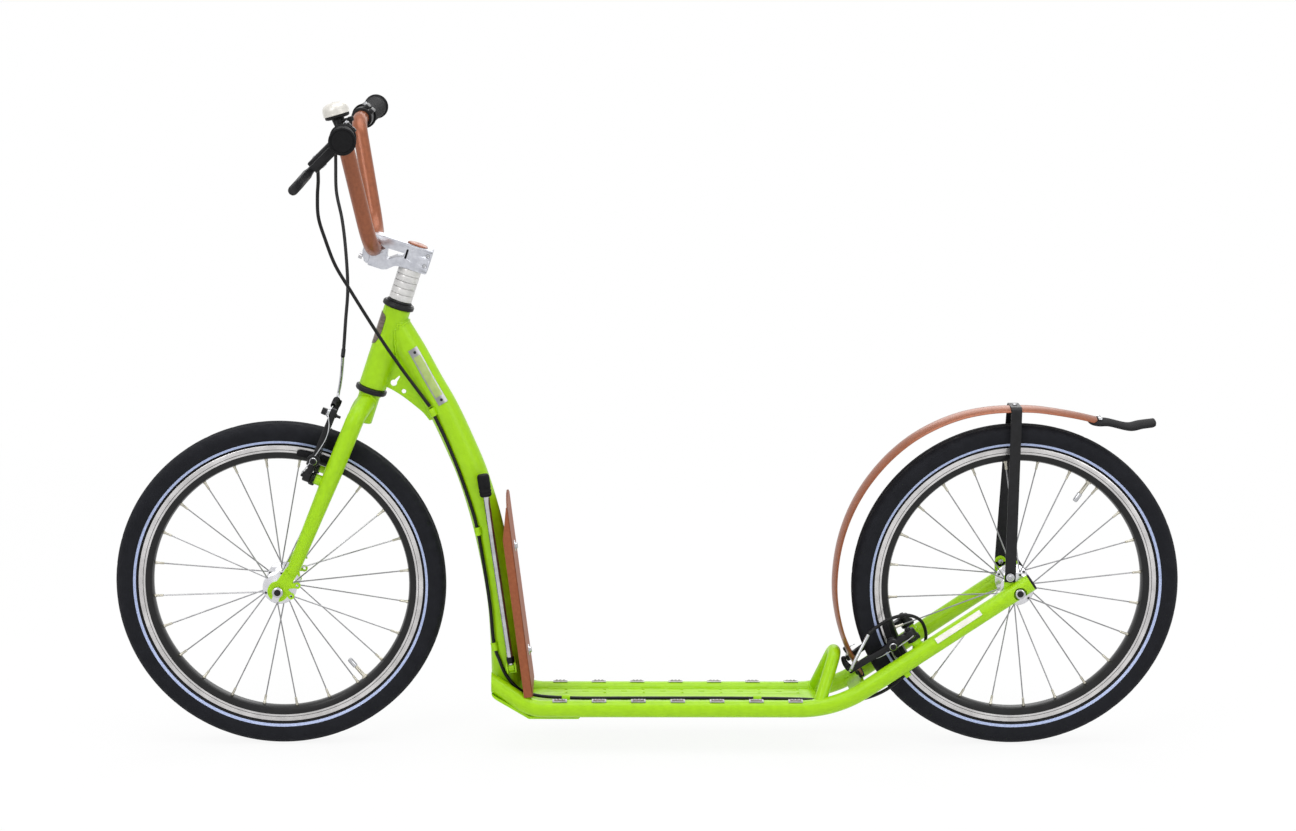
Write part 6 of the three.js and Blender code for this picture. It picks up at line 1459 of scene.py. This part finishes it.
CLIP_TURN = deg(83)
clips = Shape()
for i in range(DECK_ROWS):
    x = -131.9 + DECK_PITCH * i
    for s, _ in HANDS:
        rail = vec(x, RAIL_Y * s, RAIL_Z)
        for low, half_x, reach, height, kind in ((0.1, 10.6, 24, 1.5, 0), (1.2, 8.6, 16, 0.5, 1)):
            corners = ((-half_x, 0), (-half_x, height), (half_x, height), (half_x, 0))
            rows = []
            for a in np.linspace(CLIP_TURN - deg(reach), CLIP_TURN + deg(reach), 12):
                n = vec(0, math.cos(a) * s, math.sin(a))
                rows.append([rail + X_AXIS * dx + n * (SIDE_R + low + dz) for dx, dz in corners])
            clips.grid(rows, cap=True, kind=kind)
        n = vec(0, math.cos(CLIP_TURN) * s, math.sin(CLIP_TURN))
        for dx in (-5.2, 0, 5.2):
            clips.lathe([(0, 1.1), (1.1, 0.9), (1.9, 0.2), (1.9, -0.6), (0, -0.6)],
                        rail + X_AXIS * dx + n * (SIDE_R + 1.8), n, 16)
clips.make("deck_clips", [SPOKE, BADGE], "frame", crease=30)


def cable_guide(at, along, away):
    """A small painted bridge that holds the cable to a tube."""
    wide, r, thick, foot = 12.0, 3.4, 1.5, 4.2
    along, away = unit(along), unit(away - unit(along) * (away @ unit(along)))
    side = np.cross(along, away)
    arc = [side * math.cos(a) + away * math.sin(a) for a in np.linspace(0, math.pi, 14)]
    inner = [side * r - away * foot, *[q * r for q in arc], -side * r - away * foot]
    outer = [side * (r + thick) - away * foot, *[q * (r + thick) for q in arc],
             -side * (r + thick) - away * foot]
    return skin([[at + q + along * w for q in inner + outer[::-1]] for w in (-wide / 2, wide / 2)])


GUIDES = (((-318, -21.2, 504.5), (0.42, 0.03, -0.9), (-0.5, -1, 0)),
          ((-252.6, -19.3, 326.4), (0.18, 0, -0.98), (-0.3, -1, 0)),
          ((-228.9, -19.6, 151), (0.2, -0.1, -0.98), (-0.3, -1, 0)),
          ((-123, -25, 74.2), (1, 0, 0), (0, 0, 1)), ((161.6, -26.8, 73.8), (1, -0.04, 0), (0, 0, 1)))
guides = Shape()
for row in GUIDES:
    guides.add(cable_guide(*route(row)))
guides.make("cable_guides", LIME, "frame", crease=50)

plate = Shape()
first, last = math.pi - 0.045, math.pi + 0.62
for ends, inset, low, high, kind in (((9.6, 28.8), 0.0, 0.15, 1.0, 0), ((12.2, 26.2), 0.09, 1.05, 1.25, 1)):
    turns = np.linspace(first + inset, last - inset, 12)
    rows = []
    for f in np.linspace(*ends, 40):
        rows.append([on_main(f, a, high) for a in turns] + [on_main(f, a, low) for a in reversed(turns)])
    plate.grid(rows, cap=True, kind=kind)
for f in (10.9, 27.5):
    middle = (first + last) / 2
    seat = on_main(f, middle, 1.2)
    plate.lathe([(0, 1.0), (1.2, 0.9), (2.1, 0.3), (2.1, -0.5), (0, -0.5)], seat, seat - on_main(f, middle),
                20, kind=2)
# The plate's raised middle takes the lime-tinted silver, whose tint is a painted reflection of the lime tube.
plate.make("name_plate", [SPOKE, LIME_REFLECTION_PLATE, SATIN], "frame", crease=40)


def wrapped(places, u, w, turns, outer, inner):
    """A thin sheet that lies round a tube, with one list of angles for each place along its middle."""
    rows = []
    for centre, row in zip(places, turns):
        rows.append([centre + (u * math.cos(a) + w * math.sin(a)) * outer for a in row] +
                    [centre + (u * math.cos(a) + w * math.sin(a)) * inner for a in reversed(row)])
    return skin(rows)


stay_mid = stay_foot - Y_AXIS * (STAY_Y - 0.4)
places = [stay_mid + STAY * t for t in np.linspace(-141, -63, 20)]
label = wrapped(places, -Y_AXIS, STAY_UP, [np.linspace(deg(12), deg(50), 10)] * 20, SIDE_R + 0.9,
                SIDE_R + 0.2)
label.make("stay_label", LABEL, "frame", crease=40)
lug = Shape().box((9, 8, 7), stay_mid - STAY * 204 + Y_AXIS * 0.5 - STAY_UP * (SIDE_R + 2.4), x=STAY,
                  z=STAY_UP, edge=1)
lug.make("stay_lug", LIME, "frame")
pad = Shape().box((22, 7, 2.4), stay_mid - STAY * 221 + Y_AXIS - STAY_UP * (SIDE_R + 1.3), x=STAY,
                  z=STAY_UP, edge=0.6)
pad.make("stay_rest_pad", RUBBER, "frame")

places, turns = [], []
for f in np.linspace(0, 1, 26):
    half_turn = deg(lerp(40, 56, min(1, f / 0.4)) * math.sqrt(max(0.02, 1 - abs(2 * f - 1) ** 9)))
    places.append(HEAD + UP * lerp(66, 116, f))
    turns.append(np.linspace(-half_turn, half_turn, 21))
wrapped(places, -BACK, Y_AXIS, turns, HEAD_R + 0.9, HEAD_R + 0.2).make("head_badge", BADGE, "frame")

# Finishes of the solids that keep their shape

FINISH = {
    "lime_paint": LIME, "copper_paint": COPPER, "silver_alloy": ALLOY, "steel": BRIGHT,
    "black_metal": SATIN, "black_plastic": PLASTIC, "tyre_rubber": TYRE, "soft_rubber": RUBBER,
}
for entry in frame["record"]["subparts"]:
    node = frame["nodes"][entry["node"]]
    for place in node.material_slots:
        place.material = FINISH[entry["material_slot"]]
